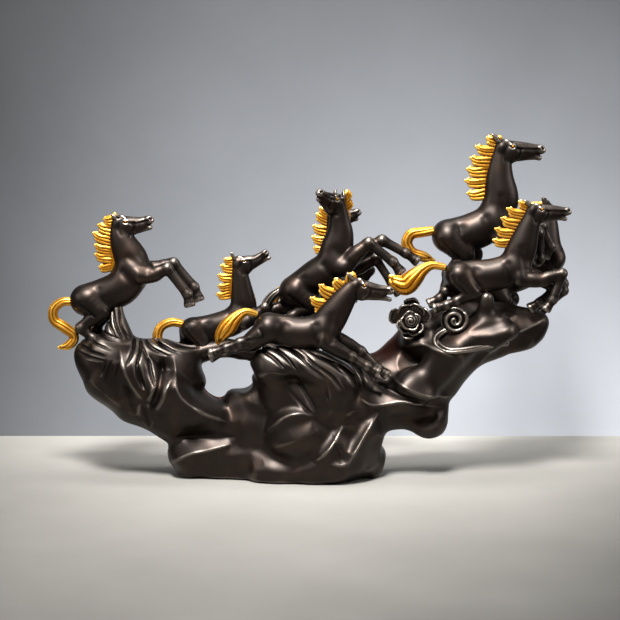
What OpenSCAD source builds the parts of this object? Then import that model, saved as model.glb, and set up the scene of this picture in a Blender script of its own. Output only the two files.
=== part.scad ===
// Eight horses running and rearing over a hollow rock: a cast table sculpture.
// Horses, manes, tails, rock castings and scrolls are separate castings, held by steel dowels.
// Z is up, X runs from the tails to the muzzles, and the origin is the centre of the felt pad.
// The horses, the rock and its ornaments all grow with the overall length.

/* [Statue] */
// Overall length, from the left horse's tail to the right horse's muzzle
statue_l = 604; // [480:4:728]
// Depth from the front of the group to the back
statue_depth = 151; // [125:2:183]

/* [Horses] */
// Half height of the largest horse's barrel
girth = 20.6; // [16:0.2:25]
// Width of a horse's body as a share of its height
body_flat = 0.8; // [0.65:0.05:0.95]
// Radius of the largest horse's lower leg
shin_r = 5; // [3.8:0.1:6]
// Radius of the crest that a mane grows from
mane_root_r = 3.4; // [2.4:0.1:4.4]
// Radius of the tip of each lock of a mane
mane_tip_r = 1.6; // [1:0.1:2.4]

/* [Rock] */
// How far the rock's ribs are thickened or thinned
rock_swell = 0; // [-3:0.5:3]
// Radius of the raised edge on the scrolls
scroll_edge_r = 3.2; // [2.4:0.2:4.4]
// Radius of the open rose
rose_r = 15; // [12:0.5:18]

/* [Fixings] */
// Diameter of the steel dowels
dowel_d = 4; // [3:0.5:6]
// Length of the steel dowels
dowel_l = 46; // [38:1:56]
// Clearance all round a dowel in its hole
dowel_gap = 0.15; // [0.05:0.05:0.4]

/* [Felt pad] */
// Thickness of the felt under the rock
pad_t = 1.5; // [1:0.1:3]
// How far the felt stays back from the rock's edge
pad_inset = 4; // [2:0.5:8]

/* [Hidden] */

// The points below are drawn for a statue of this length, depth and girth
drawn_l = 604;
drawn_depth = 151;
drawn_girth = 20.6;
grow = statue_l / drawn_l;
spread = statue_depth / drawn_depth;
bronze = "#3d3630";
gold = "#e0ac3c";
eps = 0.01;

// Thickness of each body part as a share of its horse's girth, in the order of its points
spine_r = [0.95, 0.97, 1, 1];
neck_r = [1.05, 0.76, 0.56];
head_r = [0.45, 0.56, 0.36, 0.27];
jaw_r = [0.33, 0.2, 0.13];
ear_r = [0.2, 0.15, 0.05];
fore_r = [0.6, 0.42, 0.3];
hind_r = [0.85, 0.56, 0.32];
fetlock_share = 0.94;
hoof_share = 1.15;

// Facets on the body, the limbs and the rock
body_facets = 9;
limb_facets = 6;
rock_facets = 10;
dowel_facets = 20;

// The field numbers of a horse's pose. Its points are relative to the middle of its barrel,
// with the near side towards -Y.
PLACE = 0;   // where the middle of the barrel stands
SIZE = 1;    // girth as a share of the largest horse's
SPINE = 2;   // haunch, loin, barrel, chest
NECK = 3;    // base, middle, throat
HEAD = 4;    // poll, cheek, nose, muzzle
JAW = 5;     // hinge, chin, lower lip
EAR = 6;     // root and tip of the near ear
NEAR_FORE = 7;  // shoulder, elbow, knee, fetlock, hoof
FAR_FORE = 8;
NEAR_HIND = 9;  // hip, stifle, hock, fetlock, hoof
FAR_HIND = 10;
TAIL = 11;   // x, y, z and radius from the dock to the tip
CREST = 12;  // roots of the mane from the poll to the withers
LOCKS = 13;  // tips of the mane's locks
PIN = 14;    // top of the dowel that holds the horse to the rock

HORSES = [
    // The rearing horse at the left end
    [[-183, 0, 220], 0.95,
     [[-40, 0, -14], [-20, 0, -8], [0, 0, 0], [15, 0, 18]],
     [[12, 0, 34], [4, 0, 51], [0, 0, 64]],
     [[-1, 0, 74], [8, 0, 72], [21, 0, 75], [33, 0, 78]],
     [[13, 0, 67], [26, 0, 69], [35, 0, 71]],
     [[-4, -3, 80], [-10, -5, 85]],
     [[22, -9, 15], [38, -9, 16], [54, -9, 24], [77, -9, -6], [79, -9, -15]],
     [[24, 9, 20], [43, 9, 22], [60, 9, 28], [84, 9, 0], [88, 9, -11]],
     [[-37, -6, -14], [-23, -9, -27], [-46, -9, -45], [-32, -9, -57], [-24, -9, -63]],
     [[-36, 6, -16], [-16, 9, -25], [-31, 9, -48], [-21, 9, -59], [-13, 9, -66]],
     [[-56, 0, -16, 4.6], [-67, 0, -16, 5], [-77, 0, -24, 5.5], [-77, 0, -37, 5.8],
      [-65, 0, -46, 6.3], [-54, 0, -56, 5.2], [-60, 0, -66, 5.2], [-73, 0, -70, 2.3]],
     [[-6, 0, 85], [-2, 0, 71], [-7, 0, 55], [-9, 0, 43], [-7, 0, 32], [-11, 0, 21]],
     [[-19, 0, 79], [-26, 0, 73], [-32, 0, 64], [-30, 0, 50], [-30, 0, 39], [-25, 0, 24]],
     [-5, 0, -8]],
    // The horse climbing out behind the window in the rock
    [[-60, 14, 176], 0.76,
     [[-36, 0, -6], [-19, 0, -4], [0, 0, 0], [16, 0, 7]],
     [[22, 0, 22], [20, 0, 42], [18, 0, 59]],
     [[16, 0, 72], [25, 0, 69], [36, 0, 76], [47, 0, 83]],
     [[30, 0, 68], [42, 0, 74], [52, 0, 79]],
     [[12, -3, 78], [6, -5, 85]],
     [[23, -8, 3], [35, -8, 10], [47, -8, 22], [51, -8, 3], [52, -8, -5]],
     [[24, 8, 6], [39, 8, 13], [54, 8, 22], [69, 8, 1], [74, 8, -6]],
     [[-37, -5, -4], [-25, -7, -19], [-36, -7, -29], [-26, -7, -32], [-19, -7, -33]],
     [[-41, 5, -7], [-43, 7, -21], [-52, 7, -27], [-42, 7, -34], [-35, 7, -37]],
     [[-49, 0, 1, 4.6], [-61, 0, 3, 5.1], [-73, 0, -2, 5.3], [-78, 0, -13, 5.6],
      [-74, 0, -23, 5], [-65, 0, -30, 2.9]],
     [[11, 0, 79], [14, 0, 68], [10, 0, 55], [8, 0, 44], [9, 0, 31]],
     [[-1, 0, 76], [-5, 0, 69], [-8, 0, 58], [-8, 0, 45], [-10, 0, 35]],
     [-20, 0, 8]],
    // The galloping horse in front
    [[24, -46, 173], 0.88,
     [[-36, 0, 7], [-19, 0, 4], [0, 0, 0], [24, 0, 3]],
     [[35, 0, 19], [47, 0, 37], [56, 0, 49]],
     [[62, 0, 55], [71, 0, 49], [87, 0, 50], [100, 0, 49]],
     [[75, 0, 44], [90, 0, 42], [101, 0, 40]],
     [[58, -3, 64], [51, -5, 69]],
     [[24, -9, -6], [40, -9, -16], [57, -9, -25], [75, -9, -36], [84, -9, -41]],
     [[35, 9, -4], [51, 9, -12], [68, 9, -21], [87, 9, -40], [95, 9, -46]],
     [[-37, -7, 5], [-53, -9, -6], [-68, -9, -9], [-84, -9, -15], [-98, -9, -20]],
     [[-40, 7, 2], [-58, 9, -12], [-74, 9, -17], [-87, 9, -22], [-99, 9, -27]],
     [[-50, 0, 22, 3.6], [-62, -2, 25, 4.5], [-73, -3, 18, 7.3], [-82, -4, 8, 9.6],
      [-90, -4, -2, 6.8], [-93, -4, -11, 2.8]],
     [[62, 0, 61], [49, 0, 54], [41, 0, 43], [30, 0, 31], [24, 0, 24]],
     [[59, 0, 70], [38, 0, 63], [20, 0, 56], [10, 0, 41], [16, 0, 29]],
     [-4, 0, -4]],
    // The rearing horse in the middle, which turns its head towards the front
    [[45, -6, 235], 0.94,
     [[-28, 6, -19], [-15, 3, -10], [0, 0, 0], [17, -3, 11]],
     [[20, -5, 30], [24, -6, 48], [23, -7, 65]],
     [[21, -9, 84], [13, -12, 83], [7, -22, 91], [1, -32, 96]],
     [[10, -16, 80], [3, -25, 87], [-1, -32, 91]],
     [[27, -12, 91], [29, -9, 99]],
     [[28, -14, 10], [41, -15, 25], [56, -15, 39], [84, -15, 17], [91, -15, 8]],
     [[29, 6, 16], [50, 6, 26], [72, 6, 40], [100, 6, 25], [110, 6, 18]],
     [[-26, -2, -19], [-8, -4, -34], [-31, -4, -46], [-22, -4, -59], [-17, -4, -69]],
     [[-31, 13, -22], [-33, 15, -37], [-52, 15, -40], [-44, 15, -56], [-36, 15, -65]],
     [[-44, 8, -18, 3.7], [-54, 8, -25, 5.1], [-61, 8, -35, 5.5], [-61, 8, -47, 5.1],
      [-56, 8, -56, 2.8]],
     [[27, -3, 93], [30, -1, 81], [29, 2, 67], [26, 3, 53], [21, 4, 40]],
     [[34, -2, 98], [37, 2, 86], [36, 12, 68], [32, 14, 51], [27, 14, 37]],
     [-20, 3, -14]],
    // The rearing horse behind it
    [[50, 36, 233], 0.85,
     [[-27, 0, -22], [-14, 0, -12], [0, 0, 0], [15, 0, 13]],
     [[17, 0, 29], [16, 0, 44], [14, 0, 57]],
     [[12, 0, 67], [20, 0, 65], [31, 0, 69], [39, 0, 71]],
     [[23, 0, 61], [32, 0, 63], [39, 0, 65]],
     [[8, -3, 75], [2, -5, 82]],
     [[23, -9, 4], [41, -9, 7], [61, -9, 18], [79, -9, -10], [86, -9, -20]],
     [[23, 9, 7], [34, 9, -7], [55, 9, 3], [40, 9, -21], [36, 9, -29]],
     [[-24, -6, -23], [-8, -8, -37], [-24, -8, -51], [-20, -8, -64], [-16, -8, -73]],
     [[-25, 6, -24], [1, 8, -37], [-10, 8, -53], [-6, 8, -66], [-2, 8, -75]],
     [[-42, 0, -18, 4], [-51, 2, -21, 5.1], [-58, 4, -31, 5.6], [-60, 4, -43, 5.4],
      [-54, 4, -53, 3]],
     [[8, 0, 75], [8, 0, 63], [7, 0, 50], [6, 0, 36], [5, 0, 23]],
     [[-5, 0, 77], [-9, 0, 70], [-13, 0, 56], [-14, 0, 43], [-12, 0, 30]],
     [-20, 0, -18]],
    // The horse in front at the right
    [[240, -32, 238], 0.86,
     [[-37, 0, -1], [-19, 0, 0], [0, 0, 0], [25, 0, 7]],
     [[33, 0, 29], [39, 0, 48], [44, 0, 63]],
     [[46, 0, 73], [55, 0, 70], [71, 0, 73], [84, 0, 72]],
     [[59, 0, 66], [72, 0, 66], [83, 0, 65]],
     [[42, -3, 80], [35, -5, 85]],
     [[31, -9, -3], [53, -9, -5], [79, -9, 3], [69, -9, -27], [63, -9, -35]],
     [[37, 9, 4], [55, 9, -5], [75, 9, -16], [56, 9, -32], [48, 9, -37]],
     [[-37, -7, -1], [-22, -9, -18], [-39, -9, -28], [-51, -9, -33], [-62, -9, -36]],
     [[-40, 7, -4], [-35, 9, -21], [-51, 9, -19], [-58, 9, -27], [-67, 9, -32]],
     [[-53, 0, 9, 3.8], [-67, 0, 11, 4.7], [-78, -1, 6, 7], [-88, -2, -3, 10.2],
      [-98, -2, -11, 11.3], [-109, -2, -7, 7.9], [-115, -2, -1, 3.4]],
     [[46, 0, 81], [44, 0, 71], [34, 0, 58], [29, 0, 45], [21, 0, 32]],
     [[29, 0, 84], [15, 0, 76], [9, 0, 65], [2, 0, 53], [0, 0, 40]],
     [-6, 0, -4]],
    // The highest horse, behind it
    [[222, 10, 284], 1,
     [[-28, 0, -5], [-15, 0, -3], [0, 0, 0], [24, 0, 11]],
     [[32, 0, 38], [30, 0, 61], [31, 0, 80]],
     [[33, 0, 96], [44, 0, 92], [62, 0, 95], [76, 0, 94]],
     [[49, 0, 87], [64, 0, 87], [76, 0, 86]],
     [[27, -4, 106], [19, -6, 112]],
     [[30, -10, -4], [51, -10, -7], [74, -10, 0], [76, -10, -30], [72, -10, -39]],
     [[32, 10, 1], [55, 10, 3], [80, 10, 6], [91, 10, -18], [86, 10, -26]],
     [[-28, -8, -8], [-9, -10, -27], [-29, -10, -47], [-31, -10, -62], [-36, -10, -75]],
     [[-27, 8, -9], [2, 10, -27], [-11, 10, -48], [-10, 10, -64], [-12, 10, -77]],
     [[-46, 0, 1, 5.1], [-60, 0, -1, 5.7], [-71, 0, -3, 6.2], [-76, 0, -13, 6.2],
      [-70, 0, -24, 6], [-57, 0, -29, 5.8], [-45, 0, -33, 3.5]],
     [[30, 0, 108], [28, 0, 93], [19, 0, 76], [17, 0, 58], [17, 0, 40]],
     [[14, 0, 108], [1, 0, 98], [-5, 0, 85], [-9, 0, 72], [-11, 0, 59], [-8, 0, 44]],
     [-16, 0, -6]],
    // The hidden horse at the right, which turns its head to the back
    [[285, 46, 233], 0.85,
     [[-37, 0, -16], [-20, 0, -9], [0, 0, 0], [30, 0, 16]],
     [[25, 0, 36], [26, 2, 54], [26, 4, 68]],
     [[25, 6, 76], [28, 14, 73], [33, 28, 73], [37, 38, 72]],
     [[30, 17, 68], [34, 28, 67], [37, 37, 67]],
     [[22, 0, 83], [19, -3, 89]],
     [[27, -8, 6], [38, -8, -7], [46, -8, -20], [28, -8, -37], [21, -8, -44]],
     [[34, 8, 7], [41, 8, -4], [48, 8, -14], [33, 8, -34], [26, 8, -42]],
     [[-38, -6, -17], [-24, -8, -32], [-40, -8, -45], [-35, -8, -56], [-30, -8, -65]],
     [[-37, 6, -18], [-13, 8, -32], [-27, 8, -46], [-20, 8, -58], [-15, 8, -67]],
     [[-53, 0, -13, 4.2], [-63, 0, -16, 5.2], [-70, 0, -26, 5.6], [-70, 0, -38, 5.4],
      [-63, 0, -47, 3.1]],
     [[19, 0, 82], [19, 0, 70], [18, 0, 56], [16, 0, 42], [14, 0, 29]],
     [[8, 0, 81], [5, 0, 73], [3, 0, 59], [2, 0, 45], [1, 0, 31]],
     [-24, 0, -12]]
];

// Ribs of the rock, each a chain of x, y, z and radius
ROCK_FOOT = [
    [[-102, 0, 25, 23], [-35, -5, 20, 28], [63, -20, 33, 38], [104, 0, 25, 21]],
    [[-23, -30, 14, 16], [57, -38, 18, 20]],
    [[-95, 35, 24, 21], [11, 35, 24, 31], [93, 35, 24, 21]],
    [[-98, 14, 22, 26], [98, 14, 24, 28]]
];
ROCK_LEFT = [
    [[-102, 0, 25, 23], [-76, 0, 57, 30], [-128, 0, 80, 35], [-176, 0, 108, 37], [-210, 0, 134, 28]],
    [[-103, -22, 76, 18], [-160, -24, 126, 21], [-206, -16, 148, 14]],
    [[-106, 28, 79, 21], [-164, 26, 115, 23], [-210, 16, 134, 16]],
    [[-217, 0, 146, 16], [-162, 0, 141, 23], [-118, 0, 134, 21], [-100, 0, 113, 15]],
    [[-188, 0, 160, 18], [-189, 0, 180, 12], [-187, 0, 198, 8]],
    [[-119, 12, 138, 16], [-87, 14, 144, 12], [-47, 10, 147, 12], [-9, 4, 141, 18]],
    [[-105, 10, 67, 23], [-64, 10, 69, 23], [-26, 0, 90, 30]],
    [[-70, 4, 44, 22], [-24, -8, 64, 28]]
];
ROCK_DOME = [
    [[14, -8, 117, 35], [52, -12, 92, 46], [75, -10, 56, 44], [23, -16, 55, 46]],
    [[-12, -38, 138, 18], [23, -41, 137, 20], [63, -37, 115, 26]],
    [[-12, -34, 134, 19], [4, -24, 104, 26]],
    [[23, 10, 135, 21], [25, 14, 164, 19], [23, 4, 185, 9]],
    [[25, 36, 155, 19], [27, 36, 178, 11]],
    [[65, 14, 146, 16], [102, 22, 128, 13], [135, 20, 145, 16], [162, 14, 170, 19]]
];
ROCK_RIGHT = [
    [[69, 0, 90, 44], [139, 4, 87, 32], [174, 4, 96, 36], [214, 4, 144, 33], [258, 6, 167, 23],
     [291, 6, 175, 15]],
    [[155, 6, 153, 18], [185, 8, 175, 23], [242, 6, 178, 25], [301, 4, 182, 10]],
    [[150, -8, 178, 11], [162, -6, 152, 20]],
    [[198, -20, 182, 15], [192, -12, 158, 20]],
    [[172, 34, 96, 22], [228, 34, 148, 22], [272, 34, 176, 16]],
    [[160, -26, 117, 23], [205, -28, 158, 20], [250, -30, 180, 16]],
    [[144, 0, 78, 16], [172, 0, 66, 20], [185, 0, 76, 17]],
    [[106, 6, 106, 21], [136, 8, 122, 24], [162, 8, 138, 22]],
    [[220, 12, 176, 25], [217, 12, 216, 16], [207, 12, 244, 10]],
    [[264, 46, 171, 19], [262, 46, 196, 11]],
    [[238, -26, 176, 14], [234, -30, 212, 8]]
];

// The planes where the three rock castings meet
left_seam_x = -32;
right_seam_x = 128;

// The open rose, the spiral scroll and the ledge of cloud on the front of the right wing
rose_at = [149, -30, 187];
rose_petals = 6;
rose_bud = [[0, 2, 0, 0.62], [0, -6, 0, 0.3]];
rose_petal = [[0.3, 2, 0, 0.36], [0.72, -3, 0.2, 0.26], [0.72, -3, -0.2, 0.26]];
scroll_at = [198, -44, 188];
scroll_r = 15;
scroll_eye = 0.2;
scroll_turns = 1.75;
scroll_steps = 14;
scroll_disc = [[0, 8, 0, 0.8, 0.7], [0, 3, 0, 0.9, 0.3]];
cloud_edge = [[176, -44, 176, 6], [188, -47, 163, 6], [215, -46, 161, 7], [249, -42, 164, 5]];
cloud_folds = [[0, 0, 0, 0], [2, 8, -4, 2], [3, 16, -2, 3]];

// The horses that each horse and each tail is trimmed by where they touch
horse_trims = [[], [3], [], [], [3], [], [], []];
tail_trims = [[], [], [], [1], [], [], [], []];

// A point of the drawing at the statue's own size
function place(p) = [p[0] * grow, p[1] * spread, p[2] * grow];
function horse_girth(h) = h[SIZE] * girth;
function shares(list, size) = [for (share = list) share * size];
function shin(h) = h[SIZE] * shin_r;
function leg_radii(h, upper) =
    concat(shares(upper, horse_girth(h)), [shin(h) * fetlock_share, shin(h) * hoof_share]);

// An ear grows from the poll, and the far ear mirrors the near one across the head
function ear_points(h, side) =
    let (poll = h[HEAD][0])
    concat([poll], [for (p = h[EAR]) [p[0], poll[1] + (p[1] - poll[1]) * side, p[2]]]);

// A ball with its width across Y flattened
module ball(p, r, flat, facets) {
    translate([p[0], p[1], p[2]]) scale([1, flat, 1]) sphere(r, $fn = facets);
}

// Balls joined one after the other into a tapering limb
module chain(points, radii, flat = 1, facets = limb_facets) {
    for (i = [1 : len(points) - 1])
        hull() {
            ball(points[i - 1], radii[i - 1], flat, facets);
            ball(points[i], radii[i], flat, facets);
        }
}

// Moves what is drawn around a horse's barrel to the horse's place
module at_horse(h) {
    translate(place(h[PLACE])) scale(grow) children();
}

module horse_flesh(h) {
    g = horse_girth(h);
    chain(h[SPINE], shares(spine_r, g), body_flat, body_facets);
    chain(concat([h[SPINE][3]], h[NECK], [h[HEAD][0]]),
          shares(concat([spine_r[3] * body_flat], neck_r, [head_r[0]]), g), body_flat, body_facets);
    chain(h[HEAD], shares(head_r, g), body_flat);
    chain(h[JAW], shares(jaw_r, g), body_flat);
    for (side = [1, -1]) chain(ear_points(h, side), shares(ear_r, g));
    chain(h[NEAR_FORE], leg_radii(h, fore_r), body_flat);
    chain(h[FAR_FORE], leg_radii(h, fore_r), body_flat);
    chain(h[NEAR_HIND], leg_radii(h, hind_r), body_flat);
    chain(h[FAR_HIND], leg_radii(h, hind_r), body_flat);
}

module rock_ribs(ribs) {
    for (rib = ribs)
        chain([for (p = rib) place(p)], [for (p = rib) p[3] * grow + rock_swell], 1, rock_facets);
}

// The whole rock, flat underneath where the felt is
module whole_rock() {
    difference() {
        union() {
            rock_ribs(ROCK_FOOT);
            rock_ribs(ROCK_LEFT);
            rock_ribs(ROCK_DOME);
            rock_ribs(ROCK_RIGHT);
        }
        translate([-statue_l, -statue_l, pad_t - statue_l]) cube([2 * statue_l, 2 * statue_l, statue_l]);
    }
}

// A slice of the statue's space between two X values
module slab(x0, x1) {
    translate([x0, -statue_l, -1]) cube([x1 - x0, 2 * statue_l, 2 * statue_l]);
}

// One dowel for each horse, standing in the horse and the rock below it
module dowels(d) {
    for (h = HORSES)
        translate(place(h[PLACE]) + h[PIN] * grow - [0, 0, dowel_l])
            cylinder(h = dowel_l, d = d, $fn = dowel_facets);
}

module dowel_holes() {
    dowels(dowel_d + 2 * dowel_gap);
}

module rock_part(x0, x1) {
    color(bronze)
        difference() {
            intersection() {
                whole_rock();
                slab(x0, x1);
            }
            dowel_holes();
        }
}

module rock_left_wing() {
    rock_part(-statue_l, left_seam_x * grow);
}

module rock_centre() {
    rock_part(left_seam_x * grow, right_seam_x * grow);
}

module rock_right_wing() {
    rock_part(right_seam_x * grow, statue_l);
}

// A bud with a ring of petals that open towards the front. Each point holds x, y, z and a radius,
// with x, z and the radius as shares of the rose's own radius.
module rose_ball(p, flat, facets) {
    ball([p[0] * rose_r, p[1], p[2] * rose_r], p[3] * rose_r, flat, facets);
}

module rose_flesh() {
    translate(place(rose_at)) scale(grow) {
        hull()
            for (p = rose_bud) rose_ball(p, 1, body_facets);
        for (i = [0 : rose_petals - 1])
            rotate([0, i * 360 / rose_petals, 0])
                hull()
                    for (p = rose_petal) rose_ball(p, body_flat, limb_facets);
    }
}

// A raised edge that winds in to an eye, on a flat disc
module scroll_flesh() {
    step = scroll_turns * 360 / scroll_steps;
    wind = [for (i = [0 : scroll_steps])
        let (r = scroll_r * (1 - (1 - scroll_eye) * i / scroll_steps), a = i * step)
        [r * cos(a), 0, r * sin(a)]];
    translate(place(scroll_at)) scale(grow) {
        chain(wind, [for (p = wind) scroll_edge_r], 1, limb_facets);
        hull()
            for (p = scroll_disc) ball(p, p[3] * scroll_r, p[4], body_facets);
    }
}

// The front edge of the cloud and the folds behind it
module cloud_flesh() {
    for (fold = cloud_folds)
        chain([for (p = cloud_edge) place(p + fold)], [for (p = cloud_edge) (p[3] + fold[3]) * grow], 1,
              body_facets);
}

module open_rose() {
    color(bronze)
        difference() {
            rose_flesh();
            whole_rock();
        }
}

module spiral_scroll() {
    color(bronze)
        difference() {
            scroll_flesh();
            whole_rock();
            for (i = [4, 6]) tail_cut(HORSES[i]);
            for (i = [5, 6]) horse_cut(HORSES[i]);
        }
}

module cloud_ledge() {
    color(bronze)
        difference() {
            cloud_flesh();
            whole_rock();
            scroll_flesh();
        }
}

module horse_cut(h) {
    at_horse(h) horse_flesh(h);
}

module tail_cut(h) {
    at_horse(h) tail_flesh(h);
}

// Felt under the rock, a fixed step inside the rock's own footprint
module felt_pad() {
    color("darkolivegreen")
        linear_extrude(pad_t)
            offset(delta = -pad_inset)
                projection(cut = true)
                    translate([0, 0, -pad_t - eps]) whole_rock();
}

module dowel_pins() {
    color("silver") dowels(dowel_d);
}

// A horse is trimmed where it stands in the rock, the rose, the scroll and the cloud
module horse(i) {
    color(bronze)
        difference() {
            horse_cut(HORSES[i]);
            whole_rock();
            rose_flesh();
            cloud_flesh();
            dowel_holes();
            for (k = horse_trims[i]) horse_cut(HORSES[k]);
        }
}

// A mane stays on the neck's surface when the girth changes, by moving away from the nearest
// point of the neck
function neck_growth(h, p) =
    let (
        away = [for (q = h[NECK]) p - q],
        far = [for (step = away) norm(step)],
        i = search(min(far), far)[0]
    )
    away[i] / far[i] * (girth - drawn_girth) * h[SIZE] * neck_r[i];

module mane_flesh(h) {
    roots = [for (p = h[CREST]) p + neck_growth(h, p)];
    tips = [for (p = h[LOCKS]) p + neck_growth(h, p)];
    for (i = [0 : len(tips) - 1]) {
        root = roots[min(i, len(roots) - 1)];
        next = roots[min(i + 1, len(roots) - 1)];
        hull() {
            ball(root, mane_root_r, 1, limb_facets);
            ball(next, mane_root_r, 1, limb_facets);
            ball(tips[i], mane_tip_r, 1, limb_facets);
        }
    }
}

module mane(i) {
    color(gold)
        difference() {
            at_horse(HORSES[i]) mane_flesh(HORSES[i]);
            horse_cut(HORSES[i]);
        }
}

module tail_flesh(h) {
    chain(h[TAIL], [for (p = h[TAIL]) p[3]], body_flat, limb_facets);
}

module tail(i) {
    color(gold)
        difference() {
            tail_cut(HORSES[i]);
            horse_cut(HORSES[i]);
            whole_rock();
            rose_flesh();
            for (k = tail_trims[i]) horse_cut(HORSES[k]);
        }
}

rock_left_wing();
rock_centre();
rock_right_wing();
open_rose();
spiral_scroll();
cloud_ledge();
felt_pad();
dowel_pins();
horse(0);  // horse_1
horse(1);  // horse_2
horse(2);  // horse_3
horse(3);  // horse_4
horse(4);  // horse_5
horse(5);  // horse_6
horse(6);  // horse_7
horse(7);  // horse_8
mane(0);  // mane_1
mane(1);  // mane_2
mane(2);  // mane_3
mane(3);  // mane_4
mane(4);  // mane_5
mane(5);  // mane_6
mane(6);  // mane_7
mane(7);  // mane_8
tail(0);  // tail_1
tail(1);  // tail_2
tail(2);  // tail_3
tail(3);  // tail_4
tail(4);  // tail_5
tail(5);  // tail_6
tail(6);  // tail_7
tail(7);  // tail_8
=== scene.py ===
"""A table sculpture of eight horses running over a pierced rock.

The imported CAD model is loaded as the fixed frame. Every visible casting is then sculpted again as
digital clay, a block of distances that strokes are added to and cut from, and is meshed, coloured
and set in the place of its CAD node. Lengths in the classes below are millimetres in the frame.
"""

import logging
import math
from dataclasses import dataclass, field
from enum import Enum
from typing import Iterable, Sequence

import bpy
import numpy as np
import openvdb
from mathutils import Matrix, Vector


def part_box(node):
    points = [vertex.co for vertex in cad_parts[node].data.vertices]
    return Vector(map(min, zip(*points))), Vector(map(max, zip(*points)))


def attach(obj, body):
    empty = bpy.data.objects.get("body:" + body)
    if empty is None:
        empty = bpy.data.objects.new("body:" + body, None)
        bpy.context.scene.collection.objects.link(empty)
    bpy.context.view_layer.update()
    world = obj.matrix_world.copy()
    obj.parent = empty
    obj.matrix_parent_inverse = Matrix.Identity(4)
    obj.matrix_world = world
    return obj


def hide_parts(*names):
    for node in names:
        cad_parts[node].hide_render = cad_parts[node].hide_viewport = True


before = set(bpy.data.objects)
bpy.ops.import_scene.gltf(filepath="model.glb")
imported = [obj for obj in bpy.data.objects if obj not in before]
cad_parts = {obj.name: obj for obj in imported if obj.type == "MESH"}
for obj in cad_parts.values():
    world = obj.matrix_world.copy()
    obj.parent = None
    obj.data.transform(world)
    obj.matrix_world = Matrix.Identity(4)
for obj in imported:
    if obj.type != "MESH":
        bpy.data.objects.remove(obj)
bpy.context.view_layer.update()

LOG = logging.getLogger("statue")
MM = 0.001
BODY = "root"
# A blend of two shapes fills this share of its width squared where they cross
ROUNDING = 0.25
# Half widths of a stroke past which it no longer marks the surface, for a soft groove and a sharp ridge
GROOVE_REACH = 2.4
RIDGE_REACH = 4.0
# Strength of the relief that counts as a full edge, as a share of the distance that is looked at
FULL_RELIEF = 0.16
Y_AXIS = np.array([0.0, 1.0, 0.0])
Z_AXIS = np.array([0.0, 0.0, 1.0])
Point = Sequence[float]


class Slot(Enum):
    """The record's material slots for the bronze and the gilding."""

    BRONZE = "bronze_patina"
    GILDING = "gilding"


class Side(Enum):
    """The side of the sculpture that a shallow line is scored on."""

    FRONT = -1
    BACK = 1


# ---------------------------------------------------------------------------------------------
# Small geometry helpers


def vec(point: Point) -> np.ndarray:
    """A point or direction as an array."""
    return np.asarray(point, dtype=np.float64)


def unit(direction: Point) -> np.ndarray:
    """The direction at length one."""
    d = vec(direction)
    return d / max(float(np.linalg.norm(d)), 1e-9)


def curve(points: Sequence[Point], steps: int = 6) -> np.ndarray:
    """A smooth line through all the points (Catmull-Rom).

    Args:
        points: The points in order, each with any number of values.
        steps: How many stretches each gap is cut into.

    Returns:
        The points of the smooth line, one per row.
    """
    p = np.asarray(points, dtype=np.float64)
    ends = np.vstack([2 * p[0] - p[1], p, 2 * p[-1] - p[-2]])
    rows = []
    for i in range(1, len(ends) - 2):
        a, b, c, d = ends[i - 1:i + 3]
        for k in range(steps):
            t = k / steps
            rows.append(0.5 * (2 * b + (c - a) * t + (2 * a - 5 * b + 4 * c - d) * t * t
                               + (3 * b - a - 3 * c + d) * t ** 3))
    rows.append(p[-1])
    return np.array(rows)


# ---------------------------------------------------------------------------------------------
# Clay


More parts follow.
